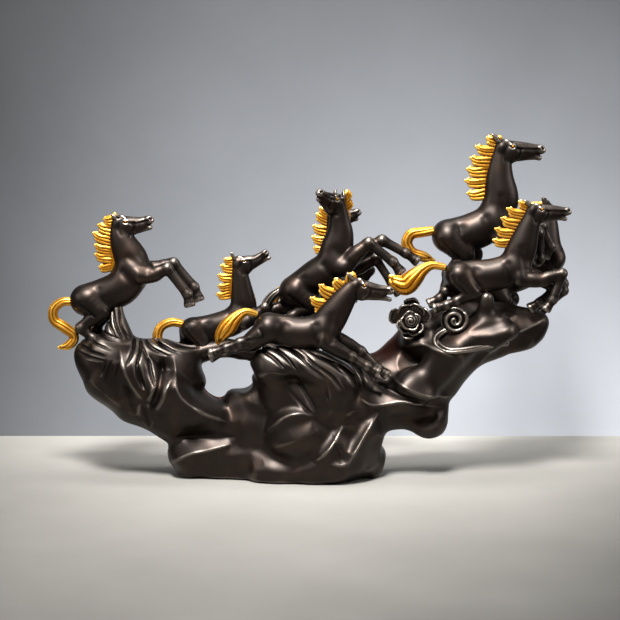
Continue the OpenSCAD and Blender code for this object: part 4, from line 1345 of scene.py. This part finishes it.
@dataclass
class Rock:
    """The pierced rock, sculpted whole and then parted into its three castings.

    Attributes:
        finishes: The shared materials.
        voxel: The clay's grid spacing.
        sole: Height of its flat underside, on the felt pad.
        left_seam: X where the left wing meets the centre.
        right_seam: X where the centre meets the right wing.
        join: How widely its ribs are blended.
        middle: Y that parts the strokes of the front from those of the back.
        fade: Share of a fold over which it fades at each end.
        echo: Least depth and half width of a fold that is repeated on the back.
        echo_share: Half width and depth of a repeated fold, as shares of the front's.
        echo_rise: How much higher it lies.
        ribs: Points and radii of the bars that it is built from.
        folds: Half width, depth and line of each fold, a ridge where the depth is negative.
        swells: Height, turn per millimetre along X, Y and Z, and start of each wave of the surface.
        window: X, Z and radius of the bores that open the window.
        hollows: Middle and radius of each hollow pressed into it.
        clay: The finished clay, which the cloud ledge is laid on.
    """

    finishes: Finishes
    voxel: float = 1.0
    sole: float = 1.5
    left_seam: float = -32.0
    right_seam: float = 128.0
    join: float = 8.0
    middle: float = 4.0
    fade: float = 0.4
    echo: tuple = (2.0, 1.8)
    echo_share: tuple = (1.2, 0.8)
    echo_rise: float = 4.0
    ribs: tuple = (
        # Foot
        ((-102, 0, 25, 23), (-35, -5, 20, 28), (63, -20, 33, 38), (100, 0, 26, 19)),
        ((-23, -30, 14, 16), (57, -38, 18, 20)),
        ((-95, 35, 24, 21), (11, 35, 24, 31), (93, 35, 24, 21)),
        ((-98, 14, 22, 24), (94, 14, 24, 24)),
        ((104, -2, 10, 14), (98, 2, 34, 18)),
        ((-110, -2, 10, 13), (-104, 0, 28, 18)),
        # Left wing, its bridge over the window and the saddle under it
        ((-102, 0, 25, 23), (-76, 0, 57, 30), (-128, 0, 80, 35), (-176, 0, 108, 37), (-210, 0, 134, 28)),
        ((-103, -22, 76, 18), (-160, -24, 126, 21), (-206, -16, 148, 14)),
        ((-106, 28, 79, 21), (-164, 26, 115, 23), (-210, 16, 134, 16)),
        ((-217, 0, 146, 16), (-162, 0, 141, 23), (-118, 0, 134, 21), (-100, 0, 113, 15)),
        ((-188, 0, 160, 18), (-189, 0, 180, 12), (-187, 0, 198, 8)),
        ((-119, 12, 138, 16), (-87, 14, 144, 12), (-47, 10, 147, 12), (-9, 4, 141, 18)),
        ((-105, 10, 67, 23), (-64, 10, 69, 23), (-26, 0, 90, 30)),
        ((-70, 4, 44, 22), (-24, -8, 64, 28)),
        # Dome
        ((14, -8, 117, 35), (52, -12, 92, 46), (75, -10, 56, 44), (23, -16, 55, 46)),
        ((-12, -38, 139, 19), (23, -42, 140, 20), (63, -38, 119, 26)),
        ((-12, -34, 134, 19), (4, -24, 104, 26)),
        ((23, 10, 135, 21), (25, 14, 164, 19), (23, 4, 185, 9)),
        ((25, 36, 155, 19), (27, 36, 178, 11)),
        ((65, 14, 146, 16), (102, 22, 128, 13), (135, 20, 145, 16), (162, 14, 170, 19)),
        # Right wing
        ((69, 0, 90, 44), (139, 4, 87, 32), (168, 4, 102, 28), (210, 4, 148, 28), (258, 6, 167, 23),
         (288, 6, 170, 17)),
        ((262, 0, 162, 18), (287, -4, 159, 9)),
        ((155, 6, 153, 18), (185, 8, 175, 23), (242, 6, 178, 25), (301, 4, 182, 10)),
        ((150, -8, 178, 11), (162, -6, 152, 20)),
        ((198, -20, 182, 15), (192, -12, 158, 20)),
        ((168, 34, 100, 20), (218, 34, 152, 18), (268, 34, 176, 16)),
        ((160, -26, 117, 23), (205, -28, 158, 20), (250, -30, 180, 16)),
        ((144, 0, 78, 16), (172, 0, 66, 20), (181, 0, 78, 15)),
        ((106, 6, 106, 21), (136, 8, 122, 24), (162, 8, 138, 22)),
        ((220, 12, 176, 25), (217, 12, 216, 16), (207, 12, 244, 10)),
        ((264, 46, 171, 19), (262, 46, 196, 11)),
        ((238, -26, 176, 14), (234, -30, 212, 8)),
    )
    folds: tuple = (
        # Crag under the left horse
        (9.0, -6.0, ((-182, 156), (-175, 131), (-164, 108), (-153, 95))),
        (5.0, -5.2, ((-153, 94), (-143, 107), (-140, 123), (-147, 143))),
        (12.0, -9.1, ((-122, 145), (-118, 124), (-115, 107), (-106, 94), (-91, 84), (-72, 74),
                      (-49, 64))),
        (9.0, -4.7, ((-120, 127), (-129, 107), (-141, 80))),
        (16.0, 6.0, ((-132, 64), (-86, 55), (-37, 55))),
        (9.0, 4.0, ((-100, 110), (-82, 96), (-59, 87))),
        (12.0, -5.2, ((-221, 120), (-203, 105), (-180, 86))),
        (7.0, 5.0, ((-178, 115), (-171, 96), (-165, 78))),
        (5.0, 4.0, ((-156, 92), (-153, 78), (-149, 63))),
        (11.0, -7.8, ((-131, 14), (-119, 24), (-101, 33), (-78, 37), (-55, 42))),
        (7.0, 4.0, ((-119, 50), (-89, 50), (-50, 51))),
        (12.0, 3.0, ((-80, 13), (-50, 17), (-18, 24))),
        (1.6, 2.2, ((-229, 177), (-214, 161), (-189, 152))),
        (1.6, 2.2, ((-223, 184), (-205, 168), (-183, 160))),
        (1.6, 1.9, ((-210, 184), (-200, 170), (-181, 162))),
        (1.6, 2.6, ((-199, 207), (-196, 182), (-186, 162))),
        (1.6, 2.6, ((-193, 205), (-188, 179), (-178, 161))),
        (1.6, 2.3, ((-185, 200), (-182, 177), (-173, 162))),
        (1.9, 2.3, ((-234, 158), (-216, 150), (-195, 145))),
        (1.6, 1.9, ((-232, 148), (-214, 143), (-196, 140))),
        (1.5, 2.8, ((-169, 170), (-167, 152), (-173, 136))),
        (1.6, 3.0, ((-162, 168), (-159, 150), (-163, 132))),
        (1.6, 2.6, ((-158, 163), (-145, 152), (-127, 144))),
        (1.6, 2.6, ((-150, 166), (-134, 154), (-113, 146))),
        (1.6, 2.4, ((-141, 168), (-123, 156), (-99, 150))),
        (1.6, 2.2, ((-128, 163), (-111, 154), (-91, 150))),
        (1.6, 2.3, ((-154, 169), (-141, 159), (-123, 151))),
        (1.5, 2.0, ((-159, 158), (-152, 145), (-143, 133))),
        (1.4, 1.7, ((-197, 140), (-204, 121))),
        (1.4, 1.7, ((-189, 144), (-197, 128), (-200, 109))),
        (1.4, 1.5, ((-181, 142), (-188, 122))),
        (3.0, 3.6, ((-162, 143), (-158, 122), (-152, 108))),
        (5.0, 6.0, ((-134, 143), (-136, 120), (-139, 101), (-148, 83))),
        (1.8, 2.6, ((-150, 143), (-145, 127), (-140, 110))),
        # Dome
        (12.0, -3.9, ((-26, 124), (-10, 131), (14, 127))),
        (10.0, 3.0, ((-24, 120), (-23, 106), (-22, 88))),
        (9.0, -5.2, ((-24, 53), (-8, 68), (6, 80), (23, 84), (44, 80))),
        (12.0, 3.4, ((-13, 58), (10, 68), (37, 76))),
        (15.0, -3.4, ((-11, 42), (16, 53), (44, 65))),
        (14.0, 3.0, ((-33, 36), (-4, 30), (28, 28))),
        (12.0, 5.5, ((69, 104), (67, 76), (56, 56), (39, 36), (12, 13))),
        (14.0, 5.5, ((86, 86), (89, 65), (77, 40))),
        (8.0, -7.8, ((39, 28), (57, 45), (73, 70))),
        (9.0, -9.1, ((55, 28), (75, 26), (87, 43), (100, 64), (118, 88))),
        (9.0, 4.0, ((111, 56), (107, 35), (98, 14))),
        (1.7, 2.8, ((-28, 158), (-8, 148), (6, 135))),
        (1.7, 2.8, ((-17, 163), (5, 149), (24, 130))),
        (1.7, 3.0, ((0, 164), (22, 149), (39, 135), (60, 119))),
        (1.7, 2.8, ((19, 160), (40, 141), (59, 127), (75, 106))),
        (1.7, 2.8, ((41, 149), (67, 138), (87, 122), (94, 105))),
        (1.7, 2.8, ((55, 153), (81, 138), (100, 113))),
        (1.7, 2.6, ((72, 154), (93, 137), (108, 116))),
        (1.6, 2.3, ((-10, 163), (12, 156), (30, 144))),
        (1.6, 2.3, ((32, 155), (55, 143), (76, 127))),
        (1.6, 2.3, ((66, 141), (80, 127), (89, 111))),
        (1.6, 2.2, ((10, 158), (31, 146), (50, 129))),
        (1.6, 2.2, ((-24, 165), (-4, 156), (17, 141))),
        (1.6, 1.6, ((2, 120), (19, 100), (33, 86), (45, 78))),
        (2.4, 2.2, ((16, 129), (27, 111), (36, 97), (44, 81))),
        (1.5, 1.6, ((51, 120), (55, 97))),
        # Right wing
        (22.0, 6.0, ((135, 133), (169, 136), (208, 138))),
        (9.0, -7.8, ((117, 129), (135, 116), (158, 105), (183, 98), (199, 95))),
        (4.0, 3.6, ((108, 113), (135, 102), (169, 93))),
        (8.0, -7.3, ((90, 101), (103, 92), (119, 91), (140, 94), (165, 88), (188, 85))),
        (10.0, 4.6, ((124, 79), (151, 74), (181, 71))),
        (9.0, -6.5, ((222, 124), (237, 146), (253, 162), (271, 171), (289, 178), (306, 187))),
        (9.0, 3.2, ((246, 147), (269, 156), (289, 166))),
        (6.0, -4.7, ((139, 152), (160, 159), (179, 154), (199, 146))),
        (6.0, 2.6, ((214, 174), (242, 181), (271, 189))),
    )
    swells: tuple = (
        (0.9, 0.085, 0.03, 0.06, 0.4), (0.8, -0.05, 0.07, 0.11, 1.9), (0.7, 0.12, -0.06, -0.05, 4.0),
        (0.6, 0.04, 0.11, -0.13, 2.7), (0.5, 0.17, 0.02, 0.1, 5.1),
    )
    window: tuple = ((-72, 121, 13), (-56, 119, 16), (-44, 112, 11), (-40, 126, 9))
    hollows: tuple = ((-221, -24, 158, 7), (105, -46, 105, 6), (81, -62, 72, 9))
    clay: Clay | None = None

    def build(self) -> None:
        """Sculpts, parts and installs the rock."""
        self.clay = self._mass()
        whole = self.clay.to_piece("rock", smooth=1, reach=4.0, wear_and_painted_light=0.55)
        for name, low, high in (("rock_left_wing", None, self.left_seam),
                                ("rock_centre", self.left_seam, self.right_seam),
                                ("rock_right_wing", self.right_seam, None)):
            piece = self._part(whole, name, low, high)
            install(piece, self.finishes.bronze, Slot.BRONZE, name)
        bpy.data.objects.remove(whole)

    def _mass(self) -> Clay:
        """Models the whole rock and cuts it flat underneath.

        Returns:
            The clay.
        """
        points = np.array([q for rib in self.ribs for q in rib], dtype=float)
        low = (points[:, :3] - points[:, 3:]).min(0) - 8
        high = (points[:, :3] + points[:, 3:]).max(0) + 8
        low[2] = self.sole - 6
        clay = Clay(low, high, self.voxel * 2, far=12.0)
        for rib in self.ribs:
            clay.limb([q[:3] for q in rib], [q[3] for q in rib], self.join, steps=6)
        clay.soften(3)
        clay.refine()
        clay.warp(self.swells)
        for x, y, z, radius in self.hollows:
            clay.ball((x, y, z), radius, 4.0, cut=True)
        for x, z, radius in self.window:
            clay.bar((x, -70, z), (x, 70, z), radius, radius, 6.0, cut=True)
        for width, depth, line in self.folds:
            clay.score(line, width, depth, Side.FRONT, self.middle, self.fade)
            if abs(depth) > self.echo[0] and width > self.echo[1]:
                higher = [(x, z + self.echo_rise) for x, z in line]
                clay.score(higher, width * self.echo_share[0], depth * self.echo_share[1], Side.BACK,
                           self.middle, self.fade)
        clay.floor_at(self.sole)
        return clay

    @staticmethod
    def _part(whole: bpy.types.Object, name: str, low: float | None,
              high: float | None) -> bpy.types.Object:
        """Cuts one casting out of the whole rock.

        Args:
            whole: The whole rock.
            name: The casting's name.
            low: X of its left seam, if it has one.
            high: X of its right seam, if it has one.

        Returns:
            The closed casting.
        """
        piece = whole.copy()
        piece.data = whole.data.copy()
        piece.name = name + "_casting"
        bpy.context.scene.collection.objects.link(piece)
        select_only(piece)
        bpy.ops.object.mode_set(mode="EDIT")
        for seam, normal in ((low, (-1, 0, 0)), (high, (1, 0, 0))):
            if seam is None:
                continue
            bpy.ops.mesh.select_all(action="SELECT")
            bpy.ops.mesh.bisect(plane_co=(seam * MM, 0, 0), plane_no=normal, use_fill=True,
                                clear_outer=True)
        bpy.ops.object.mode_set(mode="OBJECT")
        select_only(piece)
        bpy.ops.object.shade_smooth_by_angle(angle=math.radians(60))
        return piece


# ---------------------------------------------------------------------------------------------
# Ornaments on the rock


def spiral(centre: Point, start: float, end: float, turns: float, phase: float, dish: float) -> list:
    """A flat spiral seen from the front.

    Args:
        centre: Its middle.
        start: Radius where it begins.
        end: Radius where it ends.
        turns: How many times it winds.
        phase: The angle where it begins, in degrees.
        dish: How far its outer end lies behind its inner end.

    Returns:
        The points along it.
    """
    count = max(int(turns * 14), 4)
    points = []
    for i in range(count + 1):
        t = i / count
        radius, angle = start + (end - start) * t, math.radians(phase + 360 * turns * t)
        points.append(vec(centre) + (radius * math.cos(angle), dish * t, radius * math.sin(angle)))
    return points


@dataclass
class Rose:
    """The open rose: a spiral bud among curled petals, on its support.

    Attributes:
        finishes: The shared materials.
        centre: The middle of the bud.
        voxel: The clay's grid spacing.
        petals: Angle, reach, half width in degrees, how far behind the bud its rim lies, and the
            radius of the rim, for each petal.
    """

    finishes: Finishes
    centre: tuple = (148.5, -34.0, 187.0)
    voxel: float = 0.55
    petals: tuple = (
        (20, 10, 48, 2, 1.6), (110, 10, 46, 1, 1.6), (205, 11, 50, 0, 1.7), (290, 11, 46, 1, 1.7),
        (55, 19, 34, 7, 1.5), (120, 18, 30, 7, 1.5), (168, 24, 22, 8, 1.6), (225, 17, 34, 5, 1.5),
        (300, 18, 36, 6, 1.5), (15, 23, 24, 9, 1.5), (85, 24, 22, 10, 1.5), (262, 22, 20, 8, 1.5),
    )

    def build(self) -> None:
        """Sculpts and installs the rose."""
        c = vec(self.centre)
        clay = Clay(c - (30, 16, 32), c + (32, 30, 28), self.voxel)
        clay.bar(c + (0, 2, 0), c + (2, 16, -2), 9.0, 13.0)
        clay.ball(c + (0, -2, 0), 5.0, 2.0)
        for angle, reach, half, back, rim in self.petals:
            line = []
            for k in range(7):
                t = k / 3 - 1
                a = math.radians(angle + half * t)
                r = reach * (1 - 0.13 * t * t) + 0.5 * math.sin(5 * t + angle)
                line.append(c + (r * math.cos(a), back - 3.2 + 2.0 * t * t, r * math.sin(a)))
            clay.limb(line, [rim * (1 - 0.35 * abs(k / 3 - 1)) for k in range(7)], 0.8, steps=2)
            for point in line:
                root = c + (point - c) * (0.35, 0, 0.35) + (0, back * 0.6 + 5, 0)
                clay.bar(root, point + (0, 1.8, 0), 3.4, 1.5, 0.8)
        clay.engrave(spiral(c + (0, -6.4, 0), 1.2, 6.5, 1.6, 200, 3.0), 0.9, 1.5, steps=2)
        bud = spiral(c + (0, -5.6, 0), 2.0, 7.4, 1.5, 215, 2.4)
        clay.limb(bud, [1.0] * len(bud), 0.6, steps=1)
        install(clay.to_piece("rose_casting", smooth=1, reach=1.6), self.finishes.bronze, Slot.BRONZE,
                "open_rose")


@dataclass
class Scroll:
    """The snail-like spiral scroll beside the rose.

    Attributes:
        finishes: The shared materials.
        centre: The middle of its face.
        radius: Its radius.
        voxel: The clay's grid spacing.
    """

    finishes: Finishes
    centre: tuple = (198.0, -44.0, 188.0)
    radius: float = 15.0
    voxel: float = 0.55

    def build(self) -> None:
        """Sculpts and installs the scroll."""
        c, r = vec(self.centre), self.radius
        clay = Clay(c - (24, 12, 24), c + (24, 26, 22), self.voxel)
        clay.bar(c + (0, 5, 0), c + (0, 14, -2), r, r * 1.05, 0, 0.3)
        groove = [(p[0], p[2]) for p in spiral(c, r * 0.1, r * 1.0, 1.9, -60, 0)]
        ridge = [(p[0], p[2]) for p in spiral(c, r * 0.12, r * 1.0, 1.9, 80, 0)]
        clay.score(ridge, 2.0, -2.4, Side.FRONT, c[1] + 8, taper=0.02, steps=2)
        clay.score(groove, 1.5, 3.4, Side.FRONT, c[1] + 8, taper=0.02, steps=2)
        install(clay.to_piece("scroll_casting", smooth=1, reach=1.8), self.finishes.bronze, Slot.BRONZE,
                "spiral_scroll")


@dataclass
class CloudLedge:
    """The raised band of cloud that curls under the scroll and runs out to the right.

    Attributes:
        finishes: The shared materials.
        rock: The rock that it lies on.
        edge: X, Z and radius along its rim.
        reach: The least and greatest Y of its rim.
        voxel: The clay's grid spacing.
    """

    finishes: Finishes
    rock: Rock
    edge: tuple = ((206, 178, 1.8), (196, 177, 2.6), (186, 174, 3.2), (178, 167, 3.6), (179, 159, 3.8),
                   (190, 154, 3.6), (210, 155, 3.2), (232, 158, 2.8), (254, 161, 1.8))
    reach: tuple = (-50.0, -34.0)
    voxel: float = 0.65

    def build(self) -> None:
        """Sculpts and installs the ledge, laid on the rock's front."""
        laid = []
        for x, z, _ in self.edge:
            y = self.rock.clay.front(x, z)
            laid.append((x, float(np.clip(self.reach[1] if y is None else y, *self.reach)), z))
        edge, wide = np.array(laid), np.array([p[2] for p in self.edge])
        clay = Clay(edge.min(0) - (12, 10, 14), edge.max(0) + (12, 34, 12), self.voxel)
        clay.limb(edge, wide, 0, steps=4)
        clay.limb(edge + (2, 6, 1), wide + 2.5, 3.0, steps=4)
        clay.engrave(edge[1:] + (0.4, -3.4, 1.4), 1.1, 1.6)
        install(clay.to_piece("cloud_casting", smooth=1, reach=1.8), self.finishes.bronze, Slot.BRONZE,
                "cloud_ledge")


# ---------------------------------------------------------------------------------------------
# Stage, lights and camera


@dataclass(frozen=True)
class Softbox:
    """A square softbox.

    Attributes:
        name: Its name.
        power: Its power in watts.
        size: Its side in metres.
        place: Where it hangs, in metres.
        aim: The point that it is turned towards.
    """

    name: str
    power: float
    size: float
    place: tuple
    aim: tuple

    def hang(self) -> None:
        """Adds the softbox to the scene."""
        data = bpy.data.lights.new(self.name, "AREA")
        data.energy = self.power
        data.size = self.size
        lamp = bpy.data.objects.new(self.name, data)
        bpy.context.scene.collection.objects.link(lamp)
        lamp.location = self.place
        aim = unit(vec(self.aim) - vec(self.place))
        lamp.rotation_euler = (math.acos(-aim[2]), 0, math.atan2(aim[0], -aim[1]) + math.pi)


@dataclass(frozen=True)
class Studio:
    """The floor, the wall, the lights and the camera.

    Attributes:
        wall_y: Y of the wall, in metres.
        sheet: Side of the floor and of the wall.
        look_at: The point that the camera is turned towards.
        distance: How far the camera is from it.
        pitch: How far the camera looks down, in degrees.
        lens: Focal length of the lens, in millimetres.
        floor_painted_light_terms: Factors of the floor's painted light and shade, as _painted_light
            takes them.
        wall_painted_light_terms: The same for the wall.
        painted_glow_share: How much of the wall's paint takes no light from the softboxes, painted light
            from its glow standing in for it.
        wall_painted_glow: How strongly the wall glows with painted light, in place of the light that
            would fall on it.
        surround: Strength of the light from all round.
        softboxes: The lights.
    """

    wall_y: float = 0.25
    sheet: float = 8.0
    look_at: tuple = (0.0345, 0.0, 0.1946)
    distance: float = 2.2
    pitch: float = 7.0
    lens: float = 111.1
    floor_painted_light_terms: tuple = (0.575, 0.09, 0.48, 0.265, -1.01, 0.146)
    wall_painted_light_terms: tuple = (0.77, 0.585, -0.48, -0.685, -0.825, -0.22)
    painted_glow_share: float = 0.7
    wall_painted_glow: float = 0.6
    surround: float = 0.04
    softboxes: tuple = (
        Softbox("key_softbox", 112, 0.5, (-0.2, -1.25, 1.9), (0, 0.05, 0.1)),
        Softbox("top_softbox", 20, 0.8, (0.1, 0.1, 1.6), (0, 0.02, 0.2)),
        Softbox("left_strip", 8, 0.7, (-1.5, -0.9, 0.9), (-0.1, 0, 0.25)),
        Softbox("right_strip", 8, 0.7, (1.5, -0.5, 0.8), (0.1, 0, 0.25)),
    )

    def build(self) -> None:
        """Sets up the whole studio."""
        self._stage()
        self._lights()
        self._camera()

    def _plane(self, name: str, location: tuple, rotation: tuple) -> bpy.types.Object:
        """Adds a large square sheet to the stage.

        Args:
            name: Its name.
            location: Its middle, in metres.
            rotation: How it is turned.

        Returns:
            The sheet.
        """
        bpy.ops.object.select_all(action="DESELECT")
        bpy.ops.mesh.primitive_plane_add(size=self.sheet, location=location, rotation=rotation)
        made = bpy.context.object
        made.name = name
        return made

    def _stage(self) -> None:
        """A pale concrete floor and a plain grey wall."""
        floor = self._plane("floor", (0, self.wall_y - self.sheet / 2, 0), (0, 0, 0))
        floor.data.materials.append(self._concrete())
        wall = self._plane("wall", (0, self.wall_y, self.sheet / 2), (math.radians(90), 0, 0))
        wall.data.materials.append(self._paint())

    @staticmethod
    def _painted_light(tree: bpy.types.NodeTree, first: str, second: str, terms: tuple) -> bpy.types.NodeSocket:
        """Painted light and shade: how pale a large surface is painted at each place, lighter and darker
        as light falls on it, with a soft cloudiness.

        Args:
            tree: The material's node tree.
            first: The axis along the surface.
            second: The axis up or away.
            terms: Factors of 1, u, v, u v, u u and v v, where u and v are metres along the axes.

        Returns:
            The share of light that is sent back, from 0 to 1.
        """
        place = add_node(tree, "ShaderNodeNewGeometry").outputs["Position"]
        parts = add_node(tree, "ShaderNodeSeparateXYZ", inputs={0: place}).outputs
        u, v = parts[first], parts[second]
        total = add_node(tree, "ShaderNodeTexNoise", inputs={
            "Vector": place, "Scale": 5.0, "Detail": 5.0, "Roughness": 0.55}).outputs["Fac"]
        total = add_node(tree, "ShaderNodeMath", {"operation": "MULTIPLY_ADD"},
                         {0: total, 1: 0.08, 2: terms[0] - 0.04}).outputs[0]
        for factor, (a, b) in zip(terms[1:], ((u, None), (v, None), (u, v), (u, u), (v, v))):
            if b is not None:
                a = add_node(tree, "ShaderNodeMath", {"operation": "MULTIPLY"}, {0: a, 1: b}).outputs[0]
            total = add_node(tree, "ShaderNodeMath", {"operation": "MULTIPLY_ADD"},
                             {0: a, 1: factor, 2: total}).outputs[0]
        bound = add_node(tree, "ShaderNodeClamp", inputs={
            "Value": total, "Min": 0.2, "Max": 0.95}).outputs[0]
        return add_node(tree, "ShaderNodeMath", {"operation": "POWER"}, {0: bound, 1: 2.2}).outputs[0]

    def _matt(self, name: str, axes: str, terms: tuple, dark: str, pale: str) -> bpy.types.Material:
        """A matt surface painted lighter and darker from place to place, standing in for its light and
        shade.

        Args:
            name: The material's name.
            axes: The surface's two axes.
            terms: The factors of its painted light and shade.
            dark: Its tint where it is darkest.
            pale: Its tint where it is palest.

        Returns:
            The material.
        """
        made, tree, shader, _ = new_material(name)
        # Painted light and shade: the colour is made lighter and darker across the surface to stand in
        # for how it is lit.
        share = self._painted_light(tree, axes[0], axes[1], terms)
        colour = ramp(tree, share, [(0.0, linear(dark)), (1.0, linear(pale))])
        tree.links.new(colour, shader.inputs["Base Color"])
        shader.inputs["Roughness"].default_value = 0.85
        return made

    def _concrete(self) -> bpy.types.Material:
        """Trowelled pale concrete with small dark pits left by air bubbles, painted lighter and darker
        across the floor for the light and shade on it.

        Returns:
            The material.
        """
        made = self._matt("concrete", "XY", self.floor_painted_light_terms, "#000000", "#fffaf0")
        tree = made.node_tree
        shader = tree.nodes["Principled BSDF"]
        plain = shader.inputs["Base Color"].links[0].from_socket
        place = add_node(tree, "ShaderNodeTexCoord").outputs["Object"]
        pits = add_node(tree, "ShaderNodeTexVoronoi", inputs={"Vector": place, "Scale": 38.0})
        size = add_node(tree, "ShaderNodeMath", {"operation": "MULTIPLY"},
                        {0: pits.outputs["Color"], 1: 0.07}).outputs[0]
        inside = add_node(tree, "ShaderNodeMath", {"operation": "LESS_THAN"},
                          {0: pits.outputs["Distance"], 1: size}).outputs[0]
        rare = add_node(tree, "ShaderNodeTexNoise", inputs={
            "Vector": place, "Scale": 9.0}).outputs["Fac"]
        few = add_node(tree, "ShaderNodeMapRange", inputs={
            "Value": rare, "From Min": 0.45, "From Max": 0.6, "To Max": 0.6}).outputs[0]
        share = add_node(tree, "ShaderNodeMath", {"operation": "MULTIPLY"},
                         {0: inside, 1: few}).outputs[0]
        pitted = add_node(tree, "ShaderNodeMix", {"data_type": "RGBA"},
                          {0: share, 6: plain, 7: linear("#5e5a52")}).outputs[2]
        tree.links.new(pitted, shader.inputs["Base Color"])
        return made

    def _paint(self) -> bpy.types.Material:
        """Matt grey paint, clouded, on a wall that is clear from behind. Most of its brightness is a
        glow of painted light that lights it evenly, so that the softboxes cast no shadow on it.

        Returns:
            The material.
        """
        made = self._matt("wall_paint", "XZ", self.wall_painted_light_terms, "#000000", "#f4f8ff")
        tree = made.node_tree
        shader = tree.nodes["Principled BSDF"]
        plain = shader.inputs["Base Color"].links[0].from_socket
        # Painted light: most of the paint's colour is given to a glow instead of to the light from the
        # softboxes.
        dim = add_node(tree, "ShaderNodeMix", {"data_type": "RGBA"},
                       {0: self.painted_glow_share, 6: plain, 7: linear("#000000")}).outputs[2]
        tree.links.new(dim, shader.inputs["Base Color"])
        tree.links.new(plain, shader.inputs["Emission Color"])
        shader.inputs["Emission Strength"].default_value = self.wall_painted_glow
        behind = add_node(tree, "ShaderNodeNewGeometry").outputs["Backfacing"]
        clear = add_node(tree, "ShaderNodeBsdfTransparent").outputs[0]
        seen = add_node(tree, "ShaderNodeMixShader", inputs={
            0: behind, 1: shader.outputs[0], 2: clear}).outputs[0]
        tree.links.new(seen, tree.nodes["Material Output"].inputs["Surface"])
        return made

    def _lights(self) -> None:
        """Hangs the softboxes and sets the light from all round."""
        for softbox in self.softboxes:
            softbox.hang()
        world = bpy.data.worlds.new("studio")
        bpy.context.scene.world = world
        world.use_nodes = True
        background = world.node_tree.nodes["Background"]
        background.inputs["Color"].default_value = linear("#c9ccd2")
        background.inputs["Strength"].default_value = self.surround
        bpy.context.scene.view_settings.view_transform = "Standard"
        bpy.context.scene.view_settings.look = "Medium High Contrast"

    def _camera(self) -> None:
        """A long lens a little above the statue's middle."""
        data = bpy.data.cameras.new("camera")
        data.lens = self.lens
        data.sensor_width = 36.0
        camera = bpy.data.objects.new("camera", data)
        bpy.context.scene.collection.objects.link(camera)
        tilt = math.radians(self.pitch)
        x, y, z = self.look_at
        camera.location = (x, y - self.distance * math.cos(tilt), z + self.distance * math.sin(tilt))
        camera.rotation_euler = (math.radians(90) - tilt, 0, 0)
        bpy.context.scene.camera = camera


def dress_hidden(finishes: Finishes) -> None:
    """Gives the CAD felt pad and dowels their finishes.

    Args:
        finishes: The shared materials.
    """
    for node, material in (("felt_pad", finishes.felt), ("dowel_pins", finishes.steel)):
        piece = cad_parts[node]
        piece.data.materials.clear()
        piece.data.materials.append(material)
        LOG.info("%s: %s", node, material.name)


def main() -> None:
    """Builds the studio and every piece of the statue."""
    logging.basicConfig(level=logging.INFO, format="%(name)s %(message)s")
    bpy.ops.object.select_all(action="DESELECT")
    finishes = Finishes(BronzePatina().material(), Gilding().material(), Felt().material(),
                        Steel().material())
    Studio().build()
    rock = Rock(finishes)
    for part in (rock, Rose(finishes), Scroll(finishes), CloudLedge(finishes, rock)):
        part.build()
    for number, pose in POSES.items():
        Horse(number, pose, finishes).build()
    dress_hidden(finishes)


if __name__ == "__main__":
    main()
